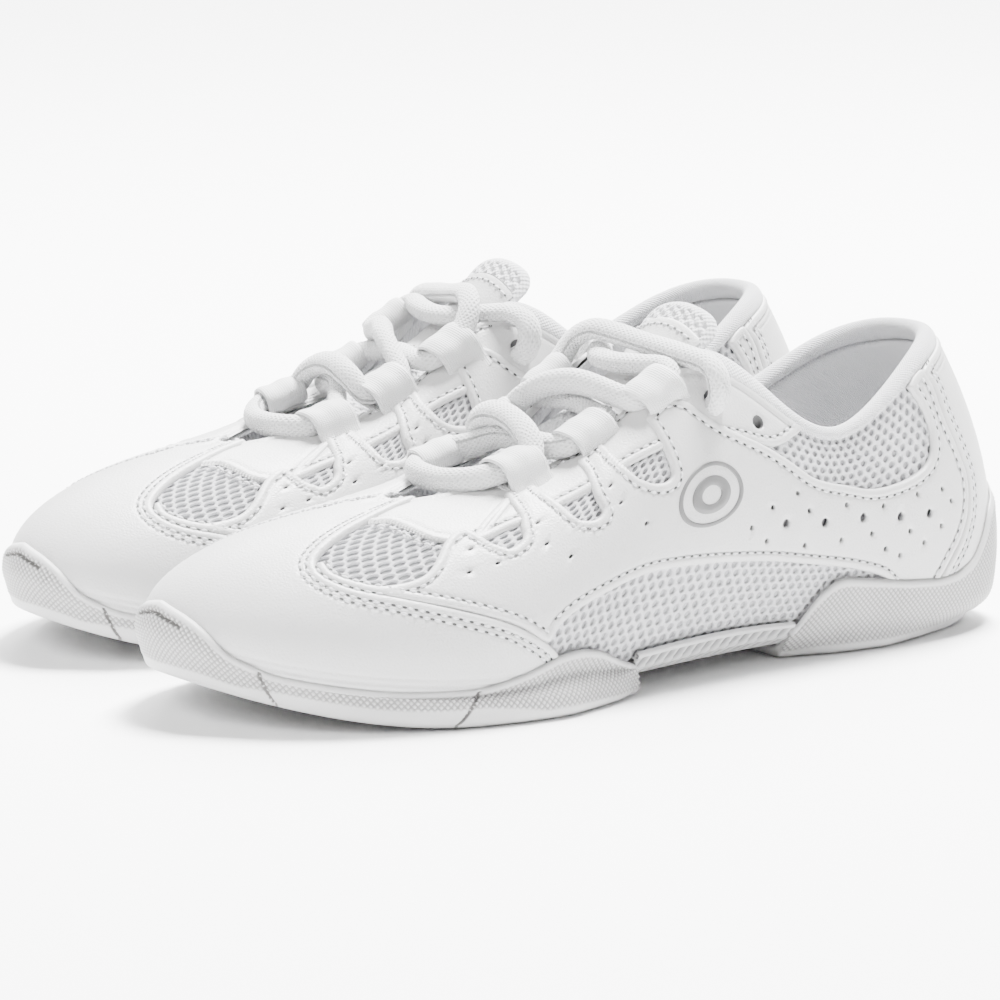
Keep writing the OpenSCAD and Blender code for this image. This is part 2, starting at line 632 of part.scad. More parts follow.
right() quarter_mesh_lateral();  // right_quarter_mesh_lateral
right() quarter_mesh_medial();  // right_quarter_mesh_medial
right() toe_puff();  // right_toe_puff
right() heel_counter();  // right_heel_counter
right() toe_cap();  // right_toe_cap
right() quarter_lateral();  // right_quarter_lateral
right() quarter_medial();  // right_quarter_medial
right() eyestay_lateral();  // right_eyestay_lateral
right() eyestay_medial();  // right_eyestay_medial
right() vamp_strip();  // right_vamp_strip
right() heel_stay();  // right_heel_stay
right() collar_binding();  // right_collar_binding
right() tongue();  // right_tongue
right() tongue_facing();  // right_tongue_facing
right() loops_lateral();  // right_loops_lateral
right() loops_medial();  // right_loops_medial
right() lace();  // right_lace
right() aglets();  // right_aglets
right() side_badge();  // right_side_badge
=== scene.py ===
"""Pair of white cheer shoes: the visual model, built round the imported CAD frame.

The upper's panels are cut in the same surface coordinates as the CAD model: a station that
runs round the shoe (0 at the heel centre, 4 at the lateral waist, 8 at the toe centre, 12 at
the medial waist) and a height from the sole (0) to the top edge (1). Lengths are in
millimetres in the left shoe's own frame until a mesh is made.
"""
import math

import bmesh
import bpy
import numpy as np
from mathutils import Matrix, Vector
from mathutils.geometry import delaunay_2d_cdt
from mathutils.kdtree import KDTree


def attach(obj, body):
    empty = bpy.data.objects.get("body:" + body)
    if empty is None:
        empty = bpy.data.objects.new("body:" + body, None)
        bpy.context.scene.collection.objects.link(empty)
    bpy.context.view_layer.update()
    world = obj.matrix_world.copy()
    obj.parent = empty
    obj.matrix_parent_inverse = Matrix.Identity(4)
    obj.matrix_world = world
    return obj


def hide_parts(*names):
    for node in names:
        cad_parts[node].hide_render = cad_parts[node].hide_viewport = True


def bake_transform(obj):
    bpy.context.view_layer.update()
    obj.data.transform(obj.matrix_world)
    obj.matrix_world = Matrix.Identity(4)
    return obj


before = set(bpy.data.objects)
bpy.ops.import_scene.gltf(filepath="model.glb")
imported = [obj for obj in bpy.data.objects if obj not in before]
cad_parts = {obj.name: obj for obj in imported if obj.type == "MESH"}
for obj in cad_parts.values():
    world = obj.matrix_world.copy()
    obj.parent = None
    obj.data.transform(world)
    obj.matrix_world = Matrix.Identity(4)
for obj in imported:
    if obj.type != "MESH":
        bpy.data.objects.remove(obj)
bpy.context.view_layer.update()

MM = 0.001
PAIR_MID = np.array([-48.773, 1.998, 0.0])
PAIR_GAP = 95.0
PAIR_STAGGER = 8.0
TOE_OUT = math.radians(3)
SIDES = ("left", "right")

# ------------------------------------------------------------------ camera
AZIMUTH = math.radians(55.5)
ELEVATION = math.radians(10.8)
DISTANCE = 1.3
LENS, SENSOR = 174.1, 36
TARGET = Vector((np.array([0, -31.25, 47.7]) - PAIR_MID) * MM)

look = Vector((
    -math.sin(AZIMUTH) * math.cos(ELEVATION),
    math.cos(AZIMUTH) * math.cos(ELEVATION),
    -math.sin(ELEVATION),
))
camera_data = bpy.data.cameras.new("camera")
camera_data.lens = LENS
camera_data.sensor_width = SENSOR
camera = bpy.data.objects.new("camera", camera_data)
camera.location = TARGET - look * DISTANCE
camera.rotation_euler = look.to_track_quat("-Z", "Y").to_euler()
bpy.context.collection.objects.link(camera)
bpy.context.scene.camera = camera


# ------------------------------------------------------------------ the foot's surface
STATIONS = np.array([
    [[0, 129, 9], [0, 132, 36], [0, 125, 64], [0, 112, 84]],
    [[19, 123, 8], [22, 127, 34], [18, 119, 60], [13, 107, 83]],
    [[30, 97, 7], [35, 99, 32], [30, 96, 56], [24, 90, 76]],
    [[30, 60, 7], [37, 60, 28], [36, 64, 48], [29, 64, 63]],
    [[30, 20, 8], [38, 22, 32], [37, 34, 54], [25, 43, 71]],
    [[40, -25, 7], [47, -22, 32], [38, -4, 60], [19, 16, 86]],
    [[46, -65, 7], [54, -62, 28], [36, -40, 54], [16, -13, 66]],
    [[34, -110, 12], [41, -112, 32], [26, -90, 47], [12, -44, 56]],
    [[0, -133, 18], [0, -139, 35], [0, -116, 47], [0, -66, 52]],
], float)
SLIM = [1, 0.98, 0.97, 0.97, 0.94, 0.91, 0.9, 0.95]
AROUND = 16
TOE = 8


def control_points():
    """The stations round the whole shoe, solved so that the B-spline goes through them."""
    medial = STATIONS[1:8][::-1].copy()
    medial[..., 0] *= -1
    medial[:, :3, 0] *= np.array(SLIM[1:])[::-1, None]
    hoop = np.concatenate([STATIONS, medial])
    weights = np.array([(math.sqrt(3) - 2) ** abs(k) for k in range(-7, 8)])
    weights /= weights.sum()
    return sum(weights[k + 7] * np.roll(hoop, -k, axis=0) for k in range(-7, 8))


CONTROL = control_points()


def swing(y):
    """Sideways bend of the shoe: out at the waist and in towards the toe."""
    return 3 * np.exp(-((y - 15) / 45) ** 2) - 8 * np.clip((-y - 55) / 80, 0, 1.2) ** 1.6


def foot(u, v):
    """Points of the foot's surface: a closed B-spline round the shoe, a cubic curve up it."""
    u, v = np.broadcast_arrays(np.asarray(u, float), np.asarray(v, float))
    i = np.floor(u).astype(int)
    t = u - i
    w = [(1 - t) ** 3, 3 * t ** 3 - 6 * t * t + 4, -3 * t ** 3 + 3 * t * t + 3 * t + 1, t ** 3]
    p = sum(w[k][..., None, None] * CONTROL[(i - 1 + k) % AROUND] for k in range(4)) / 6
    b = [(1 - v) ** 3, 3 * (1 - v) ** 2 * v, 3 * (1 - v) * v * v, v ** 3]
    s = sum(b[k][..., None] * p[..., k, :] for k in range(4))
    s = s.copy()
    s[..., 0] += swing(s[..., 1])
    return s


def slopes(u, v, e=1e-3):
    """How the surface runs along a station line and up it, in mm for a step of 1."""
    su = (foot(u + e, v) - foot(u - e, v)) / (2 * e)
    sv = (foot(u, v + e) - foot(u, v - e)) / (2 * e)
    return su, sv


def skin(u, v, d):
    """Points at a height d above the lining's inner face."""
    su, sv = slopes(u, v)
    n = np.cross(sv, su)
    n /= np.linalg.norm(n, axis=-1, keepdims=True)
    return foot(u, v) + n * (np.asarray(d, float) - INSET)[..., None]


# Layers, outwards from the lining's inner face, which lies INSET inside the foot's surface
INSET = 3.0
MESH_0, MESH_1, STAY_1, LEATHER_1 = 1.0, 1.8, 2.5, 3.2
RIM_0, RIM_1 = 3.3, 4.5


# Pitch and depth of the diamonds pressed into the rubber
KNURL, KNURL_DEPTH = 1.75, 0.5


# ------------------------------------------------------------------ materials
class Graph:
    """A node material made in a few calls."""

    def __init__(self, name):
        self.material = bpy.data.materials.new(name)
        self.material.use_nodes = True
        self.tree = self.material.node_tree
        self.shader = self.tree.nodes["Principled BSDF"]

    def node(self, kind, values=(), **settings):
        n = self.tree.nodes.new(kind)
        for key, value in settings.items():
            setattr(n, key, value)
        for key, value in dict(values).items():
            self.put(n.inputs[key], value)
        return n

    def put(self, socket, value):
        if isinstance(value, bpy.types.NodeSocket):
            self.tree.links.new(value, socket)
        else:
            socket.default_value = value

    def math(self, op, a, b=0.0, c=0.0):
        n = self.node("ShaderNodeMath", operation=op)
        for socket, value in zip(n.inputs, (a, b, c)):
            self.put(socket, value)
        return n.outputs[0]

    def set(self, **values):
        for key, value in values.items():
            self.put(self.shader.inputs[key.replace("_", " ")], value)

    def place(self):
        """Millimetres on the piece, along and across."""
        n = self.node("ShaderNodeAttribute", attribute_name="mm")
        x = self.node("ShaderNodeSeparateXYZ", {"Vector": n.outputs["Vector"]})
        return x.outputs[0], x.outputs[1]

    def coords(self):
        return self.node("ShaderNodeTexCoord").outputs["Object"]

    def mask(self):
        return self.node("ShaderNodeAttribute", attribute_name="mask").outputs["Fac"]

    def noise(self, scale, detail=3.0):
        n = self.node("ShaderNodeTexNoise", {
            "Vector": self.coords(), "Scale": scale, "Detail": detail})
        return n.outputs["Fac"]

    def cells(self, scale):
        n = self.node("ShaderNodeTexVoronoi", {"Vector": self.coords(), "Scale": scale},
                      feature="DISTANCE_TO_EDGE")
        return n.outputs["Distance"]

    def wave(self, value, period, phase=0.0):
        return self.math("SINE", self.math(
            "MULTIPLY_ADD", value, 2 * math.pi / period, phase))

    def mix(self, factor, a, b):
        n = self.node("ShaderNodeMix", data_type="RGBA")
        self.put(n.inputs["Factor"], factor)
        self.put(n.inputs["A"], a)
        self.put(n.inputs["B"], b)
        return n.outputs["Result"]

    def bump(self, height, depth, under=None):
        n = self.node("ShaderNodeBump", {"Height": height, "Distance": depth * MM})
        if under is not None:
            self.put(n.inputs["Normal"], under)
        return n.outputs["Normal"]


def tone(grey, warm=0.0, cool=0.0):
    """A grey, a little warmer or cooler."""
    return (grey + warm, grey, grey - warm + cool, 1.0)


def leather(name, grey=0.54, rough=0.4):
    """Smooth white leather with fine pores, soft folds and a faint cloudiness."""
    g = Graph(name)
    pores = g.cells(950)
    folds = g.noise(130, 4)
    height = g.math("ADD", g.math("MULTIPLY", pores, 0.9), g.math("MULTIPLY", folds, 0.5))
    cloud = g.noise(22, 3)
    g.set(
        Base_Color=g.mix(cloud, tone(grey - 0.025, 0.003), tone(grey + 0.02, 0.001)),
        Roughness=g.math("MULTIPLY_ADD", g.noise(260, 2), 0.16, rough - 0.06),
        Specular_IOR_Level=0.42,
        Coat_Weight=0.08,
        Coat_Roughness=0.35,
        Normal=g.bump(height, 0.16),
    )
    return g.material


def woven(name, grey=0.76, pitch=0.9, depth=0.22, cool=0.012, sheen=0.35):
    """Cloth of crossing yarns, pitch mm apart."""
    g = Graph(name)
    x, y = g.place()
    warp = g.wave(x, pitch)
    weft = g.wave(y, pitch, math.pi / 2)
    cross = g.math("MULTIPLY", warp, weft)
    fuzz = g.noise(900, 3)
    height = g.math("ADD", g.math("MULTIPLY", cross, 0.5), fuzz)
    shade = g.math("MULTIPLY_ADD", cross, 0.3, 0.5)
    g.set(
        Base_Color=g.mix(shade, tone(grey - 0.06, 0, cool), tone(grey + 0.03, 0, cool)),
        Roughness=0.85,
        Sheen_Weight=sheen,
        Sheen_Roughness=0.5,
        Specular_IOR_Level=0.25,
        Normal=g.bump(height, depth),
    )
    return g.material


def rubber(name, grey=0.52):
    """Rubber with painted shade between the knurl's diamonds, where the mask says it is knurled,
    and deeper painted shade in its creases.
    """
    g = Graph(name)
    x, y = g.place()
    a = g.math("ABSOLUTE", g.wave(g.math("ADD", x, y), 2 * KNURL))
    b = g.math("ABSOLUTE", g.wave(g.math("SUBTRACT", x, y), 2 * KNURL))
    diamonds = g.math("MULTIPLY", a, b)
    mask = g.mask()
    height = g.math("MULTIPLY", diamonds, mask)
    # 1 on plain rubber, 0 on the knurl and below 0 in the creases, where it paints deep shade
    plain_less_crease_shade = g.math("MULTIPLY_ADD", mask, -1.0, 1.0)
    shade = g.math("ADD", g.math("MULTIPLY", g.math("ADD", height, plain_less_crease_shade), 0.7),
                   g.math("MULTIPLY", g.noise(35, 3), 0.3))
    g.set(
        Base_Color=g.mix(shade, tone(grey - 0.36, 0.004), tone(grey + 0.06, 0.002)),
        Roughness=g.math("MULTIPLY_ADD", mask, 0.12, 0.45),
        Specular_IOR_Level=0.4,
        Normal=g.bump(g.noise(500, 3), 0.04),
    )
    return g.material


def plastic(name, grey, rough=0.4, warm=0.0):
    """Plain plastic or print, hardly textured."""
    g = Graph(name)
    g.set(
        Base_Color=g.mix(g.noise(60, 3), tone(grey - 0.03, warm), tone(grey + 0.03, warm)),
        Roughness=g.math("MULTIPLY_ADD", g.noise(300, 2), 0.15, rough - 0.07),
        Normal=g.bump(g.noise(700, 2), 0.03),
    )
    return g.material


def ribbed(name, grey):
    """Plain plastic, with painted shade down in its grooves."""
    g = Graph(name)
    g.set(
        Base_Color=g.mix(g.mask(), tone(grey), tone(grey - 0.32)),
        Roughness=0.5,
        Normal=g.bump(g.noise(700, 2), 0.03),
    )
    return g.material


def foam(name, grey):
    """Open-celled foam or board."""
    g = Graph(name)
    g.set(
        Base_Color=g.mix(g.cells(1200), tone(grey - 0.06, 0.01), tone(grey, 0.01)),
        Roughness=0.9,
        Normal=g.bump(g.cells(1200), 0.1),
    )
    return g.material


def braid(name, grey=0.6):
    """Round lace: two sets of yarns that cross, and soft fluff."""
    g = Graph(name)
    x, y = g.place()
    one = g.math("ABSOLUTE", g.wave(g.math("ADD", x, g.math("MULTIPLY", y, 1.2)), 3.2))
    two = g.math("ABSOLUTE", g.wave(g.math("SUBTRACT", x, g.math("MULTIPLY", y, 1.2)), 3.2))
    height = g.math("MAXIMUM", one, two)
    fluff = g.noise(1400, 4)
    # Its colour is darker down between the yarns: painted shade
    g.set(
        Base_Color=g.mix(height, tone(grey - 0.07), tone(grey + 0.02)),
        Roughness=0.9,
        Sheen_Weight=0.4,
        Sheen_Roughness=0.5,
        Specular_IOR_Level=0.2,
        Normal=g.bump(height, 0.35, g.bump(fluff, 0.12)),
    )
    return g.material


def ribbon(name, grey=0.62):
    """Flat satin ribbon."""
    g = Graph(name)
    x, y = g.place()
    g.set(
        Base_Color=g.mix(g.noise(90, 3), tone(grey - 0.03), tone(grey + 0.01)),
        Roughness=0.5,
        Sheen_Weight=0.3,
        Specular_IOR_Level=0.35,
        Normal=g.bump(g.wave(y, 0.7), 0.05, g.bump(g.wave(x, 0.5), 0.04)),
    )
    return g.material


LEATHER = leather("leather")
LINING = woven("lining", 0.66, 1.1, 0.2)
MESH = woven("mesh", 0.58, 0.5, 0.1, 0.015)
# Greyer than the other cloth: painted shade seen through the mesh and the perforations
BACKING_SHADE = woven("mesh_backing_shade", 0.4, 0.5, 0.1, 0.012, 0.1)
COLLAR = woven("collar", 0.6, 1.3, 0.25)
TONGUE = woven("tongue", 0.6, 1.6, 0.3)
SOCK = woven("sockliner", 0.68, 1.4, 0.3)
RUBBER = rubber("rubber")
SHANK = ribbed("shank", 0.5)
STIFF = plastic("stiffener", 0.7, 0.6, 0.01)
BOARD = foam("board", 0.7)
FOAM = foam("foam", 0.8)
THREAD = woven("thread", 0.66, 0.4, 0.06)
LACE = braid("lace")
RIBBON = ribbon("ribbon")
BADGE = plastic("badge", 0.13, 0.4)
TIP = plastic("tip", 0.75, 0.25)
# Nearly black, for the painted shade inside the eyelets
EYELET_SHADE = plastic("eyelet_shade", 0.1, 0.6)
# Nearly black, for the discs of painted shade at the needle holes
NEEDLE_HOLE_SHADE = plastic("needle_hole_shade", 0.07, 0.8)


# ------------------------------------------------------------------ making meshes
def place_left(points):
    return (points - PAIR_MID) * MM


def place_right(points):
    c, s = math.cos(-TOE_OUT), math.sin(-TOE_OUT)
    x, y = -points[:, 0], points[:, 1]
    turned = np.stack([c * x - s * y - PAIR_GAP, s * x + c * y + PAIR_STAGGER,
                       points[:, 2]], axis=-1)
    return (turned - PAIR_MID) * MM


PLACE = {"left": place_left, "right": place_right}


def tidy(points, faces, extras, merge=1e-4):
    """Merges equal points and drops faces with no area."""
    key = np.round(points / merge).astype(np.int64)
    _, first, inverse = np.unique(key, axis=0, return_index=True, return_inverse=True)
    inverse = inverse.reshape(-1)
    out = []
    for f in faces:
        g = [int(inverse[i]) for i in f]
        g = [a for k, a in enumerate(g) if a != g[k - 1]]
        if len(set(g)) >= 3 and len(set(g)) == len(g):
            out.append(g)
    return points[first], out, {k: e[first] for k, e in extras.items()}


def build(name, shape, material, slot, part="shoe", in_cad=True, mask=None, merge=False,
          solid=True, bend=None):
    """One piece for each shoe: the left one as given and the right one mirrored.

    shape is points, faces and, for a weave, each point's place on the piece in mm. in_cad
    pieces replace the CAD node of their name. solid makes the faces look outwards. bend, when
    given, leaves the piece off the bodies, with its placement baked into its points; the two
    points it gives are worked out but not used.
    """
    points, faces, *places = shape
    points = np.asarray(points, float)
    extras = {"mm": np.asarray(mm, float) for mm in places}
    if mask is not None:
        extras["mask"] = np.asarray(mask, float)
    if merge:
        points, faces, extras = tidy(points, faces, extras)
    made = {}
    for side in SIDES:
        co = PLACE[side](points)
        fs = faces if side == "left" else [list(f)[::-1] for f in faces]
        mesh = bpy.data.meshes.new(f"{side}_{name}")
        mesh.from_pydata(co.tolist(), [], [list(map(int, f)) for f in fs])
        if solid:
            work = bmesh.new()
            work.from_mesh(mesh)
            bmesh.ops.recalc_face_normals(work, faces=work.faces)
            work.to_mesh(mesh)
            work.free()
        mesh.polygons.foreach_set("use_smooth", [True] * len(mesh.polygons))
        if "mm" in extras:
            a = mesh.attributes.new("mm", "FLOAT_VECTOR", "POINT")
            flat = np.zeros((len(co), 3), np.float32)
            flat[:, :extras["mm"].shape[1]] = extras["mm"]
            a.data.foreach_set("vector", flat.ravel())
        if "mask" in extras:
            a = mesh.attributes.new("mask", "FLOAT", "POINT")
            a.data.foreach_set("value", extras["mask"].astype(np.float32))
        mesh.materials.append(material)
        mesh.update()
        o = bpy.data.objects.new(f"{side}_{name}_look", mesh)
        bpy.context.collection.objects.link(o)
        if bend is None:
            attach(o, f"{side}_{part}")
        else:
            start, end = PLACE[side](np.array(bend, float)).tolist()
            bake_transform(o)
        if in_cad:
            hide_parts(f"{side}_{name}")
        made[side] = o
    return made


def grid_faces(m, n, close_m=False, close_n=False, start=0):
    """Quads over an m by n grid of points."""
    i, j = np.meshgrid(np.arange(m if close_m else m - 1), np.arange(n if close_n else n - 1),
                       indexing="ij")
    i2, j2 = (i + 1) % m, (j + 1) % n
    return (start + np.stack([i * n + j, i2 * n + j, i2 * n + j2, i * n + j2], -1)
            .reshape(-1, 4)).tolist()


def catmull(points, samples=8, closed=False):
    """A smooth line through points."""
    p = np.asarray(points, float)
    n = len(p)
    count = n if closed else n - 1
    k = np.arange(count)

    def at(i):
        return p[i % n] if closed else p[np.clip(i, 0, n - 1)]

    a, b, c, d = at(k - 1), at(k), at(k + 1), at(k + 2)
    if not closed:
        a[0] = 2 * p[0] - p[1]
        d[-1] = 2 * p[-1] - p[-2]
    t = np.linspace(0, 1, samples, endpoint=False)[None, :, None]
    a, b, c, d = (q[:, None] for q in (a, b, c, d))
    line = 0.5 * (2 * b + (c - a) * t + (2 * a - 5 * b + 4 * c - d) * t * t
                  + (3 * b - 3 * c + d - a) * t ** 3)
    line = line.reshape(-1, p.shape[1])
    return line if closed else np.vstack([line, p[-1]])


def circle(count):
    """Angles at equal spacing round a circle."""
    return np.linspace(0, 2 * math.pi, count, endpoint=False)


def run_along(line):
    """The distance from a line's first point to each of its points."""
    return np.concatenate([[0], np.cumsum(np.linalg.norm(np.diff(line, axis=0), axis=1))])


def even(line, step, closed=False, lift=None):
    """Points at equal spacing along a line, measured on its lifted form."""
    body = line if lift is None else lift(line)
    if closed:
        line, body = np.vstack([line, line[:1]]), np.vstack([body, body[:1]])
    run = run_along(body)
    count = max(int(round(run[-1] / step)), 3 if closed else 1)
    at = np.linspace(0, run[-1], count + 1)
    out = np.stack([np.interp(at, run, line[:, k]) for k in range(line.shape[1])], -1)
    return out[:-1] if closed else out


def on_skin(line):
    return foot(line[:, 0], line[:, 1])


def area(loop):
    """Area inside a closed flat line, negative where it runs clockwise."""
    x, y = loop[:, 0], loop[:, 1]
    return 0.5 * float(np.sum(x * np.roll(y, -1) - np.roll(x, -1) * y))


def moved_in(loop, distance, closed=True):
    """Points beside a line on the surface, to its left."""
    if closed:
        d = np.roll(loop, -1, axis=0) - np.roll(loop, 1, axis=0)
    else:
        d = np.gradient(loop, axis=0)
    su, sv = slopes(loop[:, 0], loop[:, 1])
    t = su * d[:, :1] + sv * d[:, 1:]
    t /= np.linalg.norm(t, axis=1, keepdims=True) + 1e-12
    n = np.cross(su, sv)
    n /= np.linalg.norm(n, axis=1, keepdims=True)
    b = np.cross(n, t) * distance
    guu, guv, gvv = (np.einsum("ij,ij->i", p, q) for p, q in ((su, su), (su, sv), (sv, sv)))
    ru, rv = np.einsum("ij,ij->i", b, su), np.einsum("ij,ij->i", b, sv)
    det = guu * gvv - guv * guv
    return loop + np.stack([(gvv * ru - guv * rv) / det, (guu * rv - guv * ru) / det], -1)


def inside(points, loops):
    """Even-odd test of points against closed loops."""
    x, y = points[:, 0], points[:, 1]
    hit = np.zeros(len(points), bool)
    for loop in loops:
        a, b = loop, np.roll(loop, -1, axis=0)
        for (x0, y0), (x1, y1) in zip(a, b):
            if y0 == y1:
                continue
            between = (y > min(y0, y1)) & (y <= max(y0, y1))
            hit ^= between & (x < (x1 - x0) * (y - y0) / (y1 - y0) + x0)
    return hit


def nearest(points, targets):
    """The distance from each point to the nearest of the targets."""
    tree = KDTree(len(targets))
    for k, p in enumerate(targets):
        tree.insert(p, k)
    tree.balance()
    return np.array([tree.find(p)[2] for p in points])


# Height of a leather panel against the distance from its cut edge: a rounded edge, a raised
# margin, the groove its stitches lie in, then the flat of the panel. DOUBLE has two grooves.
EDGE_AT = np.array([0, 0.25, 0.7, 1.5, 2.1, 2.6, 3.1, 3.8, 5.0])
EDGE_STITCHED = np.array([-0.8, -0.1, 0.24, 0.3, 0.16, -0.4, -0.12, 0.04, 0.0])
DOUBLE_AT = np.array([0, 0.25, 0.7, 1.5, 2.1, 2.6, 3.1, 3.8, 4.3, 4.8, 5.3, 6.2])
DOUBLE_H = np.array([-0.8, -0.1, 0.24, 0.3, 0.16, -0.4, 0.02, 0.04, -0.36, 0.0, 0.04, 0.0])
GROOVE, SECOND_GROOVE = 2.6, 4.3
# Rough mm for a step of 1 along and up the surface, so that flat triangles come out even
SPREAD = np.array([36.0, 90.0])
EDGE_STEP, GRID_STEP = 1.0, 2.6


def hole_rings(holes):
    """The edges of round holes, each given as (station, height, radius in mm)."""
    a = circle(10)
    rings = []
    for u, v, r in holes:
        su, sv = slopes(u, v)
        rings.append(np.stack([u + r * np.cos(a) / np.linalg.norm(su),
                               v + r * np.sin(a) / np.linalg.norm(sv)], -1))
    return rings


def grid_inside(loop, step):
    """A staggered grid of points over the inside of a closed line."""
    lo, hi = loop.min(0), loop.max(0)
    su, sv = slopes(*(lo + hi) / 2)
    du, dv = step / np.linalg.norm(su), step / np.linalg.norm(sv)
    u, v = np.meshgrid(np.arange(lo[0], hi[0], du), np.arange(lo[1], hi[1], dv), indexing="ij")
    u = u + (np.arange(u.shape[1]) % 2) * du / 2
    grid = np.stack([u.ravel(), v.ravel()], -1)
    return grid[inside(grid, [loop])]


def filling(loop, edge, rings, steps):
    """Points inside a panel: lines beside its edge, a grid, and a ring round each hole."""
    lines = [moved_in(loop, d) for d in steps]
    lines = [c[(nearest(on_skin(c), edge) > d * 0.93) & inside(c, [loop])]
             for c, d in zip(lines, steps)]
    grid = grid_inside(loop, GRID_STEP)
    if len(grid):
        grid = grid[nearest(on_skin(grid), edge) > steps[-1] + 0.5 * GRID_STEP]
    points = np.vstack(lines + [grid])
    for ring in rings:
        centre = ring.mean(0)
        middle = foot(*centre)
        radius = np.linalg.norm(on_skin(ring[:1])[0] - middle)
        clear = np.linalg.norm(on_skin(points) - middle, axis=1) > radius + 0.45
        points = np.vstack([points[clear], centre + (ring - centre) * (1 + 0.35 / radius)])
    return points


def triangles(loops, inner):
    """Triangles between closed lines, through points inside them, and their points."""
    flat = np.vstack(loops + [inner]) * SPREAD
    edges, at = [], 0
    for loop in loops:
        n = len(loop)
        edges += [(at + k, at + (k + 1) % n) for k in range(n)]
        at += n
    verts, _, tris, _, _, _ = delaunay_2d_cdt(
        [Vector(p) for p in flat.tolist()], edges, [], 0, 1e-6)
    uv = np.array([tuple(v) for v in verts]) / SPREAD
    tris = np.array([t for t in tris if len(t) == 3])
    tris = tris[inside(uv[tris].mean(1), loops)]
    q = uv[tris]
    turn = np.cross(q[:, 1] - q[:, 0], q[:, 2] - q[:, 0])
    tris[turn > 0] = tris[turn > 0][:, ::-1]
    return uv, tris


def cut_panel(outline, holes, low, top, edge_at=EDGE_AT, edge_h=EDGE_STITCHED):
    """A panel on the surface with a shaped edge and real holes, as points, faces and places.

    outline is the closed line of its cut edge.
    """
    loop = even(catmull(outline, 8, closed=True), EDGE_STEP, True, on_skin)
    if area(loop) < 0:
        loop = loop[::-1]
    rings = hole_rings(holes)
    edge = on_skin(loop)
    uv, tris = triangles([loop] + rings, filling(loop, edge, rings, edge_at[1:]))
    body = on_skin(uv)
    h = np.interp(nearest(body, edge), edge_at, edge_h)
    if rings:
        near = nearest(body, np.vstack([on_skin(r) for r in rings]))
        h -= 0.3 * np.clip(1 - near / 0.33, 0, 1)
    su, sv = slopes(*uv.mean(0))
    mm = np.stack([uv[:, 0] * np.linalg.norm(su), uv[:, 1] * np.linalg.norm(sv)], -1)
    up = skin(uv[:, 0], uv[:, 1], top + h)
    down = skin(uv[:, 0], uv[:, 1], low)
    n = len(uv)
    faces = tris.tolist() + (tris[:, ::-1] + n).tolist()
    sides = dict.fromkeys(e for a, b, c in tris.tolist() for e in ((a, b), (b, c), (c, a)))
    faces += [[b, a, a + n, b + n] for a, b in sides if (b, a) not in sides]
    return np.vstack([up, down]), faces, np.vstack([mm, mm])


def as_given(line):
    """A line on the lateral side."""
    return np.asarray(line, float)


def flipped(line):
    """A line's twin on the other side of the shoe."""
    line = np.asarray(line, float).copy()
    line[:, 0] = AROUND - line[:, 0]
    return line


# The lateral and the medial side, and which side of a line lies inside a panel
TURNS = ((as_given, 1), (flipped, -1))


def both_sides(name, maker, material, slot, **more):
    """A lateral panel and its medial twin."""
    for where, turn in (("lateral", as_given), ("medial", flipped)):
        build(f"{name}_{where}", maker(turn), material, slot, **more)


# ------------------------------------------------------------------ stitches
# A stitch is drawn over STITCH_PARTS steps of its row, with its ends sunk into the panel
STITCH_PITCH, STITCH_R, STITCH_PARTS = 3.0, 0.42, 6
STITCH_SWELL = [0.4, 0.85, 1.0, 0.85, 0.4]
STITCH_LIFT = [-0.3, 0.02, 0.12, 0.02, -0.3]
STITCH_STEP = STITCH_PITCH / STITCH_PARTS
HOLE_ACROSS, HOLE_ALONG = 0.36, 0.6


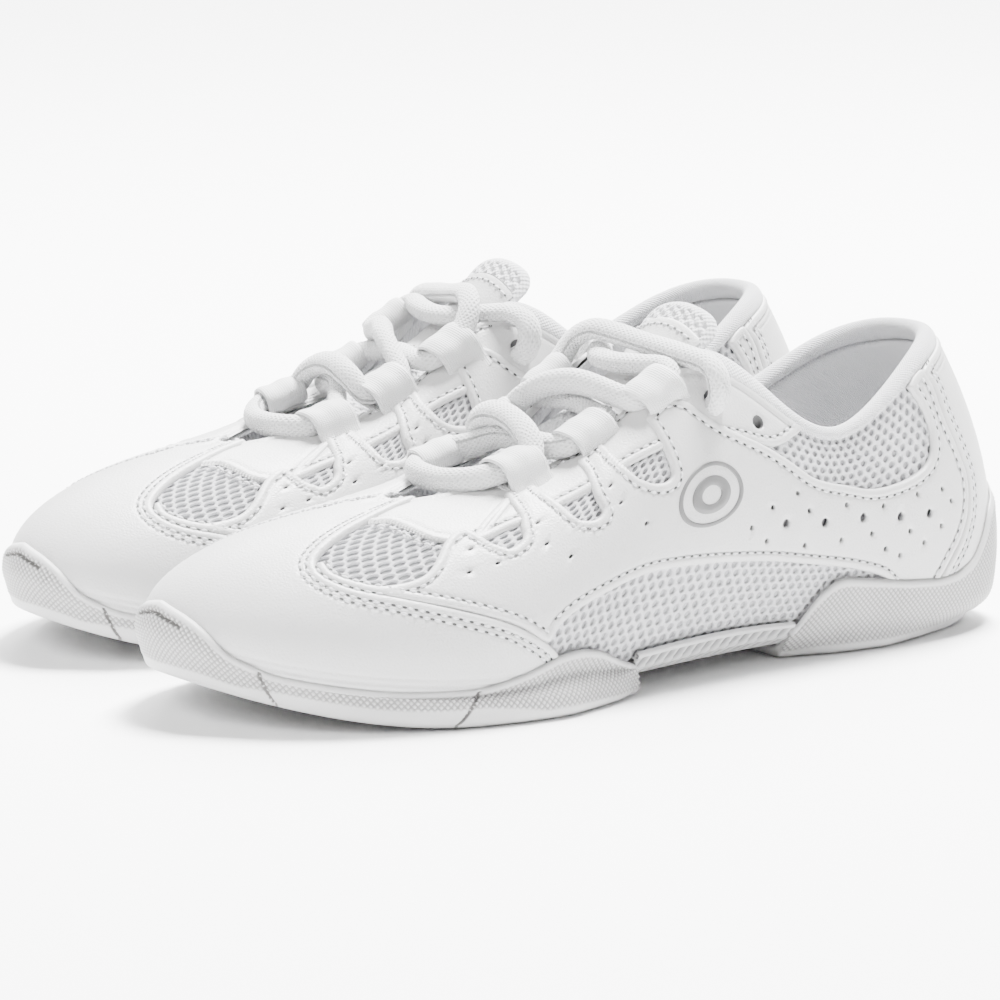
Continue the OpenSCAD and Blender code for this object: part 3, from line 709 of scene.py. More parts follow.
class Seams:
    """Rows of stitches, and dark discs of painted shade at the needle holes between them,
    gathered into two meshes.
    """

    def __init__(self):
        self.thread, self.thread_faces, self.pits, self.hole_shade_faces = [], [], [], []
        self.threads_at = self.pits_at = 0

    def row(self, body, normal):
        """Stitches along body, points STITCH_STEP apart, with the normals there."""
        run = np.gradient(body, axis=0)
        run /= np.linalg.norm(run, axis=1, keepdims=True)
        side = np.cross(run, normal)
        for k in range(1, len(body) - len(STITCH_SWELL), STITCH_PARTS):
            self.stitch(body[k:], normal[k:], side[k:])
        for k in range(0, len(body), STITCH_PARTS):
            self.pit(body[k], normal[k], run[k], side[k])

    def stitch(self, body, normal, side, sides=6):
        """One bead of thread, thinner at both ends."""
        ring = circle(sides)[:, None]
        rows = [body[i] + normal[i] * lift + STITCH_R * swell * (
            np.cos(ring) * side[i] + np.sin(ring) * normal[i])
            for i, (swell, lift) in enumerate(zip(STITCH_SWELL, STITCH_LIFT))]
        start, end = self.threads_at, self.threads_at + (len(rows) - 1) * sides
        self.thread.append(np.vstack(rows))
        self.thread_faces.extend(grid_faces(len(rows), sides, close_n=True, start=start))
        self.thread_faces.append([start + i for i in range(sides)])
        self.thread_faces.append([end + i for i in range(sides)][::-1])
        self.threads_at = end + sides

    def pit(self, body, normal, run, side, sides=8):
        """One dark oval disc of painted shade, at a needle hole."""
        turn = circle(sides)[:, None]
        rim = body + normal * 0.1 + (
            HOLE_ALONG * np.cos(turn) * run + HOLE_ACROSS * np.sin(turn) * side)
        self.pits.append(np.vstack([rim, body + normal * 0.02]))
        start = self.pits_at
        self.hole_shade_faces.extend([start + i, start + (i + 1) % sides, start + sides]
                              for i in range(sides))
        self.pits_at += sides + 1

    def beside(self, line, inset, top):
        """A row beside a panel's edge, in the groove."""
        path = even(catmull(line, 8), 0.6, False, on_skin)
        path = even(moved_in(path, inset, False), STITCH_STEP, False, on_skin)
        body = skin(path[:, 0], path[:, 1], top)
        self.row(body, skin(path[:, 0], path[:, 1], top + 1) - body)

    def build(self, name, part="shoe"):
        build(name, (np.vstack(self.thread), self.thread_faces), THREAD, "leather", part,
              in_cad=False)
        # The needle holes are dark discs of painted shade
        build(f"{name}_holes", (np.vstack(self.pits), self.hole_shade_faces), NEEDLE_HOLE_SHADE, "leather", part,
              in_cad=False, solid=False)


seams = Seams()
# How far stitches lie below a panel's top, and how far the heel stay lies above the quarters
SUNK, STRIP_SUNK, OVER = 0.08, 0.06, 0.02


# ------------------------------------------------------------------ outlines of the panels
LUGS = [
    (6.70, .68), (6.65, .72), (6.53, .68), (6.38, .62), (6.28, .59), (6.23, .58), (6.18, .61),
    (6.23, .66), (6.30, .72), (6.48, .82), (6.58, .87), (6.54, .905), (6.45, .91), (6.20, .80),
    (6.00, .71), (5.80, .62), (5.68, .59), (5.58, .58), (5.55, .60), (5.68, .67), (5.88, .80),
    (6.03, .89), (5.96, .92), (5.85, .91), (5.58, .78), (5.33, .68), (5.18, .64), (5.05, .62),
    (4.95, .62), (4.93, .65), (5.10, .74), (5.28, .82), (5.36, .86), (5.28, .89), (5.03, .87),
    (4.60, .80), (4.10, .78)]
COLLAR_EDGE = [(3.83, .76), (3.53, .72), (3.12, .69), (2.80, .63), (2.55, .60), (2.27, .59),
               (2.08, .62), (2.00, .69), (2.00, .79), (2.05, .87), (2.1, .93)]
STAY_EDGE = [(1.8, .94), (1.74, .86), (1.74, .74), (1.66, .6), (1.6, .48), (1.66, .36),
             (1.78, .27), (1.92, .2), (2.1, .1), (2.3, .01)]
ARCH_EDGE = [(2.45, .01), (2.52, .12), (2.6, .18), (2.75, .23), (3.10, .29), (3.62, .32),
             (4.12, .325), (4.58, .33), (4.88, .33), (5.18, .31), (5.48, .28), (5.64, .235)]
TOE_OUTER = [(5.7, .185), (6.0, .275), (6.40, .362), (6.72, .415), (7, .46), (7.18, .512),
             (7.28, .565)]
WINDOW_REAR = [(7.27, .585), (7.15, .53), (7.0, .495), (6.85, .475), (6.70, .50),
               (6.66, .56)]
CAP_EDGE = [(5.45, .01), (5.55, .12), (5.7, .185), (6.05, .288), (6.4, .362), (6.72, .418),
            (7, .462), (7.2, .52), (7.31, .585), (7.37, .67), (7.41, .76), (7.44, .84),
            (7.5, .92), (7.6, .995)]
PERFORATIONS = [(3.70, .63), (3.93, .55), (3.53, .56), (3.10, .59), (2.68, .53), (2.30, .51),
                (2.00, .48), (1.90, .42), (4.08, .46), (3.90, .41), (3.50, .40), (3.12, .42),
                (2.80, .42), (2.65, .33), (2.50, .28), (2.40, .37), (2.25, .30), (2.05, .34),
                (6.50, .61), (6.43, .51), (6.28, .53), (6.12, .66), (5.98, .56), (5.73, .48),
                (5.55, .68), (5.38, .60), (5.05, .50)]
BIG_PERFORATIONS = [(3.75, .49), (3.33, .51), (2.90, .51), (2.50, .45), (2.18, .41)]
PUNCH_R, BIG_PUNCH_R = 0.72, 1.25
HOLES = ([(u, v, PUNCH_R) for u, v in PERFORATIONS]
         + [(u, v, BIG_PUNCH_R) for u, v in BIG_PERFORATIONS])
QUARTER = (STAY_EDGE[::-1] + [(1.86, .955), (2.0, .955), (2.1, .94)] + COLLAR_EDGE[::-1]
           + LUGS[::-1] + WINDOW_REAR[::-1] + TOE_OUTER[::-1] + ARCH_EDGE[::-1])


def lateral_quarter(turn):
    holes = [(*turn([(u, v)])[0], r) for u, v, r in HOLES]
    return cut_panel(turn(QUARTER), holes, MESH_1, LEATHER_1)


both_sides("quarter", lateral_quarter, LEATHER, "leather")
for turn, sign in TURNS:
    for line in (STAY_EDGE[::-1], COLLAR_EDGE[::-1] + LUGS[::-1], WINDOW_REAR[::-1],
                 TOE_OUTER[::-1], ARCH_EDGE[::-1]):
        seams.beside(turn(line), -GROOVE * sign, LEATHER_1 - SUNK)

# The toe cap runs right round the toe, with the strip up its middle
cap = np.array(CAP_EDGE + [(7.8, .995), (8.2, .995)]
               + [(AROUND - u, v) for u, v in CAP_EDGE[::-1]]
               + [(u, .01) for u in np.linspace(10.2, 5.8, 12)])
build("toe_cap", cut_panel(cap, [], MESH_1, LEATHER_1, DOUBLE_AT, DOUBLE_H), LEATHER,
      "leather")
for turn, sign in TURNS:
    for inset in (GROOVE, SECOND_GROOVE):
        seams.beside(turn(CAP_EDGE), -inset * sign, LEATHER_1 - SUNK)

stay = np.array(STAY_EDGE + [(1.2, .01), (.4, .01), (-.4, .01), (-1.2, .01)]
                + [(-u, v) for u, v in STAY_EDGE[::-1]]
                + [(-1.2, .955), (-.4, .96), (.4, .96), (1.2, .955)])
build("heel_stay", cut_panel(stay, [], MESH_1, LEATHER_1 + OVER, DOUBLE_AT, DOUBLE_H),
      LEATHER, "leather")
for sign in (1, -1):
    for inset in (GROOVE, SECOND_GROOVE):
        seams.beside([(sign * u, v) for u, v in STAY_EDGE], -inset * sign,
                     LEATHER_1 + OVER - SUNK)

EYESTAY_LOW = [(6.55, .66), (6.3, .68), (6, .705), (5.78, .71), (5.45, .72), (5.12, .725),
               (4.8, .745), (4.5, .765), (4.1, .785), (3.93, .83), (3.83, .88), (3.74, .92),
               (3.70, .96)]
EYESTAY_HIGH = [(6.5, .998), (6.2, .998), (5.9, .998), (5.6, .998), (5.3, .99), (5.05, .97),
                (4.75, .965), (4.4, .965), (4, .965), (3.8, .965)]
EYELETS, EYELET_R = [(4.73, .88), (4.23, .86)], 2.0
EYESTAY_TOP = STAY_1 + 0.1


def lateral_eyestay(turn):
    holes = [(*turn([e])[0], EYELET_R) for e in EYELETS]
    return cut_panel(turn(EYESTAY_LOW + EYESTAY_HIGH[::-1]), holes, MESH_1, EYESTAY_TOP)


both_sides("eyestay", lateral_eyestay, LEATHER, "leather")
for turn, sign in TURNS:
    seams.beside(turn(EYESTAY_LOW), -GROOVE * sign, EYESTAY_TOP - SUNK)
    seams.beside(turn(EYESTAY_HIGH[:6]), GROOVE * sign, EYESTAY_TOP - SUNK)

STRIP_LOW = [(6.45, .655), (6.73, .675), (7.05, .765), (7.25, .815), (7.42, .825)]
strip = np.array(STRIP_LOW + [(AROUND - u, v) for u, v in STRIP_LOW[::-1]]
                 + [(u, .998) for u in np.linspace(9.5, 6.5, 11)])
build("vamp_strip", cut_panel(strip, [], MESH_1, STAY_1), LEATHER, "leather")
for turn, sign in TURNS:
    seams.beside(turn(STRIP_LOW), -GROOVE * sign, STAY_1 - STRIP_SUNK)

seams.build("stitching")


# ------------------------------------------------------------------ open mesh
NET_MARGIN, NET_SIDES = 4.0, 12


def net_cells(window, du, dv, grow):
    """Middles of a hexagonal lattice's cells, over a window and NET_MARGIN beyond."""
    lo, hi = window.min(0) - grow, window.max(0) + grow
    loop = even(catmull(window, 6, closed=True), 1.5, True, on_skin)
    if area(loop) < 0:
        loop = loop[::-1]
    wide = moved_in(loop, -NET_MARGIN)
    cells = np.array([(lo[0] + (i + 0.5 * (j % 2)) * du, lo[1] + j * dv)
                      for j in range(int((hi[1] - lo[1]) / dv) + 1)
                      for i in range(int((hi[0] - lo[0]) / du) + 1)])
    cells = cells[inside(cells, [wide]) | inside(cells, [loop])]
    return cells[(cells[:, 1] > 0.012) & (cells[:, 1] < 0.975)]


def net(window, pitch, squash, hole=0.31):
    """Open mesh of round holes: each cell is a hexagon with a rounded hole through it."""
    window = np.asarray(window, float)
    su, sv = (np.linalg.norm(s) for s in slopes(*(window.min(0) + window.max(0)) / 2))
    du, dv = pitch / su, pitch * squash * math.sqrt(3) / 2 / sv
    cells = net_cells(window, du, dv, np.array([NET_MARGIN / su, NET_MARGIN / sv]))
    a = np.arange(NET_SIDES) * math.pi / 6
    corner = np.where(np.arange(NET_SIDES) % 2 == 1, 1 / math.sqrt(3), 0.5)
    outer = np.stack([corner * np.cos(a), corner * np.sin(a)], -1)
    ring = np.stack([hole * np.cos(a), hole * 1.12 * np.sin(a)], -1)
    scale = np.array([du, dv * 2 / math.sqrt(3)])
    rows = ((outer, MESH_1), (ring * 1.28, MESH_1), (ring, MESH_1 - 0.25),
            (ring * 1.02, MESH_0))
    uv = np.stack([cells[:, None] + shape[None] * scale for shape, _ in rows], 1)
    d = np.broadcast_to(np.array([d for _, d in rows])[None, :, None], uv.shape[:3])
    faces = [f for c in range(len(cells)) for f in grid_faces(
        len(rows), NET_SIDES, close_n=True, start=c * len(rows) * NET_SIDES)]
    mm = np.stack([uv[..., 0] * su, uv[..., 1] * sv], -1)
    return skin(uv[..., 0], uv[..., 1], d).reshape(-1, 3), faces, mm.reshape(-1, 2)


def joined(parts):
    """Several pieces' points, faces and places as one piece's."""
    points, faces, mm, at = [], [], [], 0
    for p, f, m in parts:
        points.append(p)
        mm.append(m)
        faces += [[i + at for i in g] for g in f]
        at += len(p)
    return np.vstack(points), faces, np.vstack(mm)


ARCH_WINDOW = [(2.5, .02), (2.62, .17), (2.8, .235), (3.2, .29), (3.8, .315), (4.5, .325),
               (5.1, .31), (5.45, .275), (5.62, .21), (5.55, .1), (5.4, .02), (4.6, .02),
               (3.6, .02)]
COLLAR_WINDOW = [(2.03, .9), (2.0, .7), (2.2, .6), (2.6, .6), (3.1, .685), (3.6, .73),
                 (4.05, .785), (3.85, .86), (3.7, .92), (3.2, .93), (2.6, .93)]
NOTCH_WINDOW = [(6.2, .6), (6.6, .7), (6.4, .7), (6.2, .7), (5.7, .7), (5.5, .72), (5.1, .74),
                (4.92, .64), (5.1, .62), (5.3, .66), (5.55, .59), (5.8, .62), (6.0, .68)]
TOE_WINDOW = [(6.7, .68), (6.66, .56), (6.72, .49), (6.85, .47), (7.0, .49), (7.15, .525),
              (7.27, .58), (7.34, .66), (7.34, .73), (7.25, .83), (7.05, .78), (6.85, .72)]


def side_net(turn):
    return joined([net(turn(window), pitch, squash) for window, pitch, squash in (
        (ARCH_WINDOW, 3.5, 0.84), (COLLAR_WINDOW, 3.1, 0.8), (NOTCH_WINDOW, 3.2, 0.9))])


both_sides("quarter_mesh", side_net, MESH, "mesh", merge=True, solid=False)
build("vamp_mesh", joined([net(turn(TOE_WINDOW), 3.9, 0.92, 0.36) for turn, _ in TURNS]),
      MESH, "mesh", merge=True, solid=False)


# ------------------------------------------------------------------ linings and stiffeners
MM_ROUND, MM_UP = 36, 85   # rough mm for a step of 1 round and up, for the weave


def border(m, n):
    """Numbers of the points round the edge of an m by n grid, in order."""
    rim = ([(i, 0) for i in range(m)] + [(m - 1, j) for j in range(1, n)]
           + [(i, n - 1) for i in range(m - 2, -1, -1)] + [(0, j) for j in range(n - 2, 0, -1)])
    return [i * n + j for i, j in rim]


def shell(u0, u1, v0, v1, m, n, inner, outer):
    """A smooth shell between two depths, each a number or a function of the place."""
    u, v = np.meshgrid(np.linspace(u0, u1, m), np.linspace(v0, v1, n), indexing="ij")
    a, b = (skin(u, v, d(u, v) if callable(d) else d).reshape(-1, 3) for d in (inner, outer))
    size = m * n
    faces = [f[::-1] for f in grid_faces(m, n)] + grid_faces(m, n, start=size)
    ids = border(m, n)
    faces += [[p, q, q + size, p + size] for p, q in zip(ids, ids[1:] + ids[:1])]
    mm = np.stack([u * MM_ROUND, v * MM_UP], -1).reshape(-1, 2)
    return np.vstack([a, b]), faces, np.vstack([mm, mm])


def padding(u, v):
    """The collar's padding swells inwards near the top and dies away lower down."""
    swell = np.clip((v - 0.5) / 0.3, 0, 1) * np.clip((1.0 - v) / 0.09, 0, 1) ** 0.5
    ease = np.clip((4.9 - np.abs(u)) / 0.9, 0, 1)
    return -0.1 - 2.4 * swell * ease


LINING_OUT, COLLAR_END = 0.95, 4.98
build("vamp_lining", shell(5, 11, 0.005, 0.995, 110, 40, 0.02, LINING_OUT), LINING, "lining")
collar_lining = shell(-COLLAR_END, COLLAR_END, 0.005, 0.945, 180, 44, padding, LINING_OUT)
soft_pieces = [build("collar_lining", collar_lining, LINING, "lining")]
# A thin cloth behind the open mesh, in three lengths; it is greyer than the lining, and the grey
# is painted shade seen through the mesh and the perforations
backing = joined([
    shell(u0, u1, 0.01, top, 50, 30, 0.96, 0.99)
    for u0, u1, top in ((1.9, 5.6, 0.93), (5.62, 10.38, 0.985), (10.4, 14.1, 0.93))])
build("mesh_backing_shade", backing, BACKING_SHADE, "mesh", in_cad=False)
for name, end, top, rows, middle in (("toe_puff", 1.7, 0.4, 14, TOE),
                                     ("heel_counter", 1.85, 0.6, 20, 0)):
    build(name, shell(middle - end, middle + end, 0.03, top, 60, rows, 1.0, 1.7), STIFF,
          "stiffener")


# ------------------------------------------------------------------ collar roll
# Its closed section, as (height, depth) from the lining over the top edge to the leather
ROLL = [(0.945, -0.4), (0.955, -1.7), (0.975, -2.45), (1.0, -2.1), (1.018, -0.9),
        (1.025, 0.6), (1.018, 2.0), (1.0, 2.95), (0.975, 3.2), (0.955, 2.8), (0.943, 1.6)]
ROLL_GIRTH = 26


def collar_roll(stations=260):
    """The padded roll round the opening."""
    us = np.linspace(-COLLAR_END, COLLAR_END, stations)
    section = catmull(ROLL, 3, closed=True)
    n = len(section)
    u = np.repeat(us, n)
    points = skin(u, np.tile(section[:, 0], stations), np.tile(section[:, 1], stations))
    faces = grid_faces(stations, n, close_n=True)
    faces += [list(range(n))[::-1], [(stations - 1) * n + k for k in range(n)]]
    girth = np.linspace(0, ROLL_GIRTH, n, endpoint=False)
    mm = np.stack([u * MM_ROUND, np.tile(girth, stations)], -1)
    return build("collar_binding", (points, faces, mm), COLLAR, "collar")


soft_pieces.append(collar_roll())

# ------------------------------------------------------------------ tongue
# Rows from the front end up: y, z, half width, drop at the sides, thickness
TONGUE_ROWS = np.array([
    [-58, 46.3, 9.5, 1.4, 2.5], [-50, 49.8, 14.5, 6.2, 3], [-40, 55.8, 16.5, 9.5, 3.5],
    [-28, 61.5, 17, 12.5, 4], [-15, 66.8, 18.5, 13.2, 4.5], [-4, 72, 18.5, 12.6, 5],
    [6, 77.8, 16.8, 11, 4.7], [13, 83.1, 15, 8, 4.6], [18, 87.5, 14.2, 4.9, 4.6],
    [23, 92.6, 15.9, 4.6, 5], [28, 97.6, 16.8, 5.2, 4]])


def tongue_points(rows, s, d):
    """Points across the tongue, s from -1 to 1, raised by d.

    Under the laces it is a little flatter than its rows say, and it dips at its front end.
    """
    run = np.gradient(rows[:, :2], axis=0)
    run /= np.linalg.norm(run, axis=1, keepdims=True)
    y, z, half, drop = (rows[:, k][:, None] for k in range(4))
    x, d = s * half + swing(y), d + 0 * s * half
    drop = drop * np.interp(y, [-52, -38, 8, 16], [1, 0.72, 0.72, 1])
    z = z - np.interp(y, [-58, -48], [0.8, 0])
    return np.stack([x, y - run[:, 1][:, None] * d, z - drop * s * s + run[:, 0][:, None] * d],
                    -1)


def tongue_rows(first, last, m):
    """m even rows between two of TONGUE_ROWS, and how far along the tongue each lies."""
    rows = catmull(TONGUE_ROWS, 10)
    at = np.linspace(first, last, m) * 10
    rows = np.stack([np.interp(at, np.arange(len(rows)), rows[:, k]) for k in range(5)], -1)
    return rows, run_along(rows[:, :2])


def rounding(x):
    """A quarter circle's height, from 0 at x = 0 to 1 at x = 1."""
    return np.sqrt(np.clip(1 - np.clip(1 - x, 0, 1) ** 2, 0, 1))


def dents(x, y, pitch, radius, depth):
    """Round hollows on a hexagonal lattice."""
    best = np.full(np.broadcast(x, y).shape, 1e9)
    tall = pitch * math.sqrt(3)
    for ox, oy in ((0, 0), (pitch / 2, tall / 2)):
        dx = (x - ox) - pitch * np.round((x - ox) / pitch)
        dy = (y - oy) - tall * np.round((y - oy) / tall)
        best = np.minimum(best, np.hypot(dx, dy))
    return -depth * np.clip((radius - best) / 0.35, 0, 1)


TONGUE_END, PLAIN_EDGE = 2.4, 2.5   # where it closes at the top, and its undented margin


def tongue_shell(first, last, low, top, width=1.0, corner=5.0, m=210, n=81, holes=None):
    """A cushion between two heights, low and top, with rounded sides and upper corners."""
    rows, run = tongue_rows(first, last, m)
    left = run[-1] - run
    half = rows[:, 2] - corner * (1 - rounding(left / corner))
    rows[:, 3] *= (half / rows[:, 2]) ** 2
    rows[:, 2] = half * width
    s = np.sin(np.linspace(-math.pi / 2, math.pi / 2, n))[None, :]
    thick = rows[:, 4][:, None]
    x, y = run[:, None], s * rows[:, 2][:, None]
    soft = rounding(left / TONGUE_END)[:, None] * np.sqrt(np.clip(1 - np.abs(s) ** 6, 0, 1))
    a, b = low(s, thick), top(s, thick)
    middle = (a + b) / 2
    outer = middle + (b - middle) * soft
    if holes:
        edge = np.minimum(rows[:, 2][:, None] - np.abs(y), left[:, None])
        outer = outer + dents(x, y, *holes) * (edge > PLAIN_EDGE)
    inner = tongue_points(rows, s, middle + (a - middle) * soft).reshape(-1, 3)
    outer = tongue_points(rows, s, outer).reshape(-1, 3)
    size = m * n
    faces = grid_faces(m, n) + [f[::-1] for f in grid_faces(m, n, start=size)]
    ids = border(m, n)
    faces += [[q, p, p + size, q + size] for p, q in zip(ids, ids[1:] + ids[:1])]
    mm = np.stack([np.repeat(run, n), y.ravel()], -1)
    return np.vstack([inner, outer]), faces, np.vstack([mm, mm])


DENTS = (2.9, 0.95, 0.75)   # pitch, radius and depth
cushion = tongue_shell(0, 10, lambda s, t: -t * (1 - 0.5 * s * s), lambda s, t: 0 * s * t,
                       holes=DENTS)
soft_pieces.append(build("tongue", cushion, TONGUE, "collar", "tongue",
                         bend=[(0, -58, 46), (0, -46, 50)]))
FACING_FROM, FACING_TO, FACING_TOP, SEWN = 5, 9, 0.85, 0.86
facing = tongue_shell(FACING_FROM, FACING_TO, lambda s, t: 0.05 + 0 * s * t,
                      lambda s, t: FACING_TOP + 0 * s * t, 0.93, 1.2, 60)
build("tongue_facing", facing, LEATHER, "leather", "tongue")


def facing_stitches():
    """Rows across the facing's two ends."""
    held = Seams()
    rows, run = tongue_rows(FACING_FROM, FACING_TO, 200)
    for gap in (2.0, run[-1] - 2.4):
        k = int(np.argmin(np.abs(run - gap)))
        band = rows[k - 1:k + 2]
        s = np.linspace(-SEWN, SEWN, int(band[1, 2] * 2 * SEWN / STITCH_STEP))[None]
        body = tongue_points(band, s, FACING_TOP - 0.02)[1]
        over = tongue_points(band, s, FACING_TOP + 0.98)[1]
        held.row(body, over - body)
    held.build("facing_stitching", "tongue")


facing_stitches()


# ------------------------------------------------------------------ outsoles
BALL_Y, HEEL_Y = -70.0, 105.0


def ground(y):
    """Height of the tread, which curls up in front of the ball and behind the heel."""
    return 0.003 * np.clip(BALL_Y - y, 0, None) ** 2 + 0.0057 * np.clip(y - HEEL_Y, 0, None) ** 2


# How far the rubber stands out from the foot's base line, by station
FLARE = np.array([(0, -5), (1.5, -4), (2, -2), (2.6, 3), (3, 2), (3.5, -3), (4.1, -3),
                  (4.78, 2), (5, 5), (5.5, 7.5), (6, 5), (6.5, 3), (7, 1), (8, 0.5)], float)
# Height of the rubber's top edge on the foot's surface, by station
RIM_FORE = np.array([(4.78, 0), (4.95, .04), (5.15, .09), (5.35, .115), (5.55, .115),
                     (5.8, .075), (6.1, .03), (6.6, .012), (7.2, .02), (7.45, .07),
                     (7.6, .16), (7.75, .21), (8, .25)])
RIM_HEEL = np.array([(0, .36), (.9, .35), (1.25, .3), (1.42, .22), (1.6, .15), (1.85, .12),
                     (2.08, .12), (2.43, .15), (2.75, .19), (3.03, .22), (3.15, .2),
                     (3.3, .12), (3.38, .03), (3.45, 0)])
FLARE_IN = 3.0
FORE_END, HEEL_END = 4.78, 3.45
ACROSS = 60


def soft_lookup(table, at):
    """Linear lookup, smoothed a little."""
    total = 0
    for k, w in ((-0.06, .25), (0, .5), (.06, .25)):
        total = total + w * np.interp(at + k, table[:, 0], table[:, 1])
    return total


def fold(u):
    """Station of the same place on the lateral side."""
    return np.where(u > TOE, AROUND - u, np.abs(u))


def spread(u):
    """The flare, which stays smaller on the medial side."""
    f = soft_lookup(FLARE, fold(u))
    return INSET + np.where((u > TOE) | (u < 0), np.minimum(f, FLARE_IN), f)


def base(u, d, z):
    """Points d outside the foot's base line, at height z."""
    p = foot(u, np.zeros_like(u))
    s = foot(u + 1e-3, np.zeros_like(u)) - p
    n = np.stack([-s[..., 1], s[..., 0]], -1)
    n /= np.linalg.norm(n, axis=-1, keepdims=True)
    d = d - INSET
    return np.stack([p[..., 0] + n[..., 0] * d, p[..., 1] + n[..., 1] * d,
                     np.broadcast_to(z, p[..., 0].shape)], -1)


def tread(u, d, z):
    """Points d outside the rubber's flare, z above the ground."""
    p = base(u, spread(u) + d, 0.0)
    p[..., 2] = ground(p[..., 1]) + z
    return p


# Points up a cup's section: below the wall, on it, and over the rim
FOOTING, WALL, RIM = 6, 58, 16
# The slit's distance below the wall's top, and the station where it starts
SLIT_DOWN, SLIT_FROM = 2.7, 7.74
SEAM_DEPTH, SLIT_DEPTH, GROOVE_DEPTH = 0.8, 1.1, 0.8


def cup_profile(line):
    """A smooth profile with most of its points on the visible wall."""
    fine = catmull(line, 8)
    run = run_along(fine)
    a, b = run[2 * 8], run[7 * 8]
    at = np.concatenate([np.linspace(0, a, FOOTING, endpoint=False),
                         np.linspace(a, b, WALL, endpoint=False),
                         np.linspace(b, run[-1], RIM)])
    return np.stack([np.interp(at, run, fine[:, k]) for k in range(3)], -1), b - a


PAINTED_CREASE_SHADE = 6.0   # a crease counts as this much knurl in the mask, which darkens it with painted shade


def cup_lines(us, rim):
    """The cup's section at each station, from under the tread over the rim to the inside."""
    feather_z = foot(us, 0)[:, 2]
    wall = np.maximum(spread(us) - 0.4, RIM_1 + 0.1)
    floor = base(us, -2.5, 0.0)
    floor[:, 2] = ground(floor[:, 1]) + 3.0
    return np.stack([
        tread(us, -3.5, 0.0), tread(us, -1.6, 0.05), tread(us, -0.5, 0.7), tread(us, 0.15, 2.3),
        base(us, wall, feather_z - 0.6),
        skin(us, rim * 0.45, RIM_1 + 0.35), skin(us, rim * 0.9, RIM_1 + 0.1),
        skin(us, rim + 0.004, RIM_1 - 0.25), skin(us, rim + 0.010, RIM_0 + 0.3),
        skin(us, rim + 0.004, RIM_0), skin(us, -0.02, RIM_0),
        floor], 1)


def cup_marks(us, run, share, tall, smooth_band, seam_lines, slit):
    """Knurl, seams and slit on a cup's wall: how far out each point goes, and its darkness,
    painted shade in the knurl's hollows and deeper painted shade in the seams and slit.

    share is the height as a part of the wall's height tall; smooth_band gives where the
    knurl starts, by station; seam_lines are (station, how far the seam leans back).
    """
    up = share * tall
    x = run[:, None]
    bumps = np.abs(np.sin(math.pi * (x + up) / KNURL) * np.sin(math.pi * (x - up) / KNURL))
    start = np.interp(fold(us), *zip(*smooth_band))[:, None]
    mask = np.clip((share - start) * tall / 0.8, 0, 1) * np.clip(
        (tall - up - 0.9) / 0.6, 0, 1)
    push = KNURL_DEPTH * (bumps - 0.35) * mask
    for station, lean in seam_lines:
        for side, way in ((station, lean), (AROUND - station, -lean)):
            if us[0] <= side <= us[-1]:
                middle = np.interp(side, us, run) + way * (1 - share) ** 1.4
                crease = np.exp(-((x - middle) / 0.42) ** 2) * (share < 1)
                push, mask = push - SEAM_DEPTH * crease, mask + PAINTED_CREASE_SHADE * crease
    if slit:
        reach = np.clip((fold(us) - SLIT_FROM) / 0.03, 0, 1)[:, None]
        crease = np.exp(-((tall - up - SLIT_DOWN) / 0.4) ** 2) * reach
        push, mask = push - SLIT_DEPTH * crease, mask + PAINTED_CREASE_SHADE * crease
    return push * (share > 0) * (share < 1), mask


def cup(name, us, table, tread_pattern, smooth_band, seam_lines=(), slit=False):
    """A rubber cup: walls with knurl, seams and slit, a patterned tread and a floor."""
    lines = cup_lines(us, soft_lookup(table, fold(us)))
    profiles = [cup_profile(line) for line in lines]
    smooth = np.stack([q[0] for q in profiles])
    tall = np.array([q[1] for q in profiles])[:, None]
    m, n = smooth.shape[:2]
    faces = [f[::-1] for f in grid_faces(m, n)]
    run = run_along(lines[:, 4])
    share = np.clip((np.arange(n) - FOOTING) / WALL, 0, 1)[None]
    up = share * tall
    out = np.cross(np.gradient(smooth, axis=0), np.gradient(smooth, axis=1))
    out /= np.linalg.norm(out, axis=2, keepdims=True) + 1e-9
    away = base(us, 1.0, 0.0) - base(us, 0.0, 0.0)
    sign = np.sign(np.sum(out[:, FOOTING + WALL // 2] * away, axis=1))
    push, mask = cup_marks(us, run, share, tall, smooth_band, seam_lines, slit)
    smooth = smooth + out * sign[:, None, None] * push[..., None]
    points = smooth.reshape(-1, 3)
    mm = np.stack([np.repeat(run, n), up.ravel()], -1)
    mask = mask.ravel()
    # Tread and inner floor, as strips between the two sides, and the wall at the open end
    half = m // 2
    w = np.linspace(0, 1, ACROSS)
    sheet = bridged(lines[:half, 0], lines[::-1][:half, 0])
    edge = np.minimum(np.minimum(w, 1 - w) * ACROSS, 1)[None]
    sheet[..., 2] = ground(sheet[..., 1]) + tread_pattern(sheet[..., 0], sheet[..., 1]) * edge
    inner = bridged(smooth[:half, -1], smooth[::-1][:half, -1])
    low, high = len(points), len(points) + half * ACROSS
    points = np.vstack([points, sheet.reshape(-1, 3), inner.reshape(-1, 3)])
    faces += grid_faces(half, ACROSS, start=low) + grid_faces(half, ACROSS, start=high)
    faces += [[low + k, low + k + 1, high + k + 1, high + k] for k in range(ACROSS - 1)]
    faces += [list(range(n)), [(m - 1) * n + k for k in range(n)]]
    rest = points[len(mm):, :2]
    mm = np.vstack([mm, rest])
    mask = np.concatenate([mask, np.zeros(len(rest))])
    build(name, (points, faces, mm), RUBBER, "rubber", mask=mask, merge=True)


def bridged(a, b, count=60):
    """Rows of points straight across from one line to another."""
    w = np.linspace(0, 1, count)[None, :, None]
    return a[:, None] * (1 - w) + b[:, None] * w


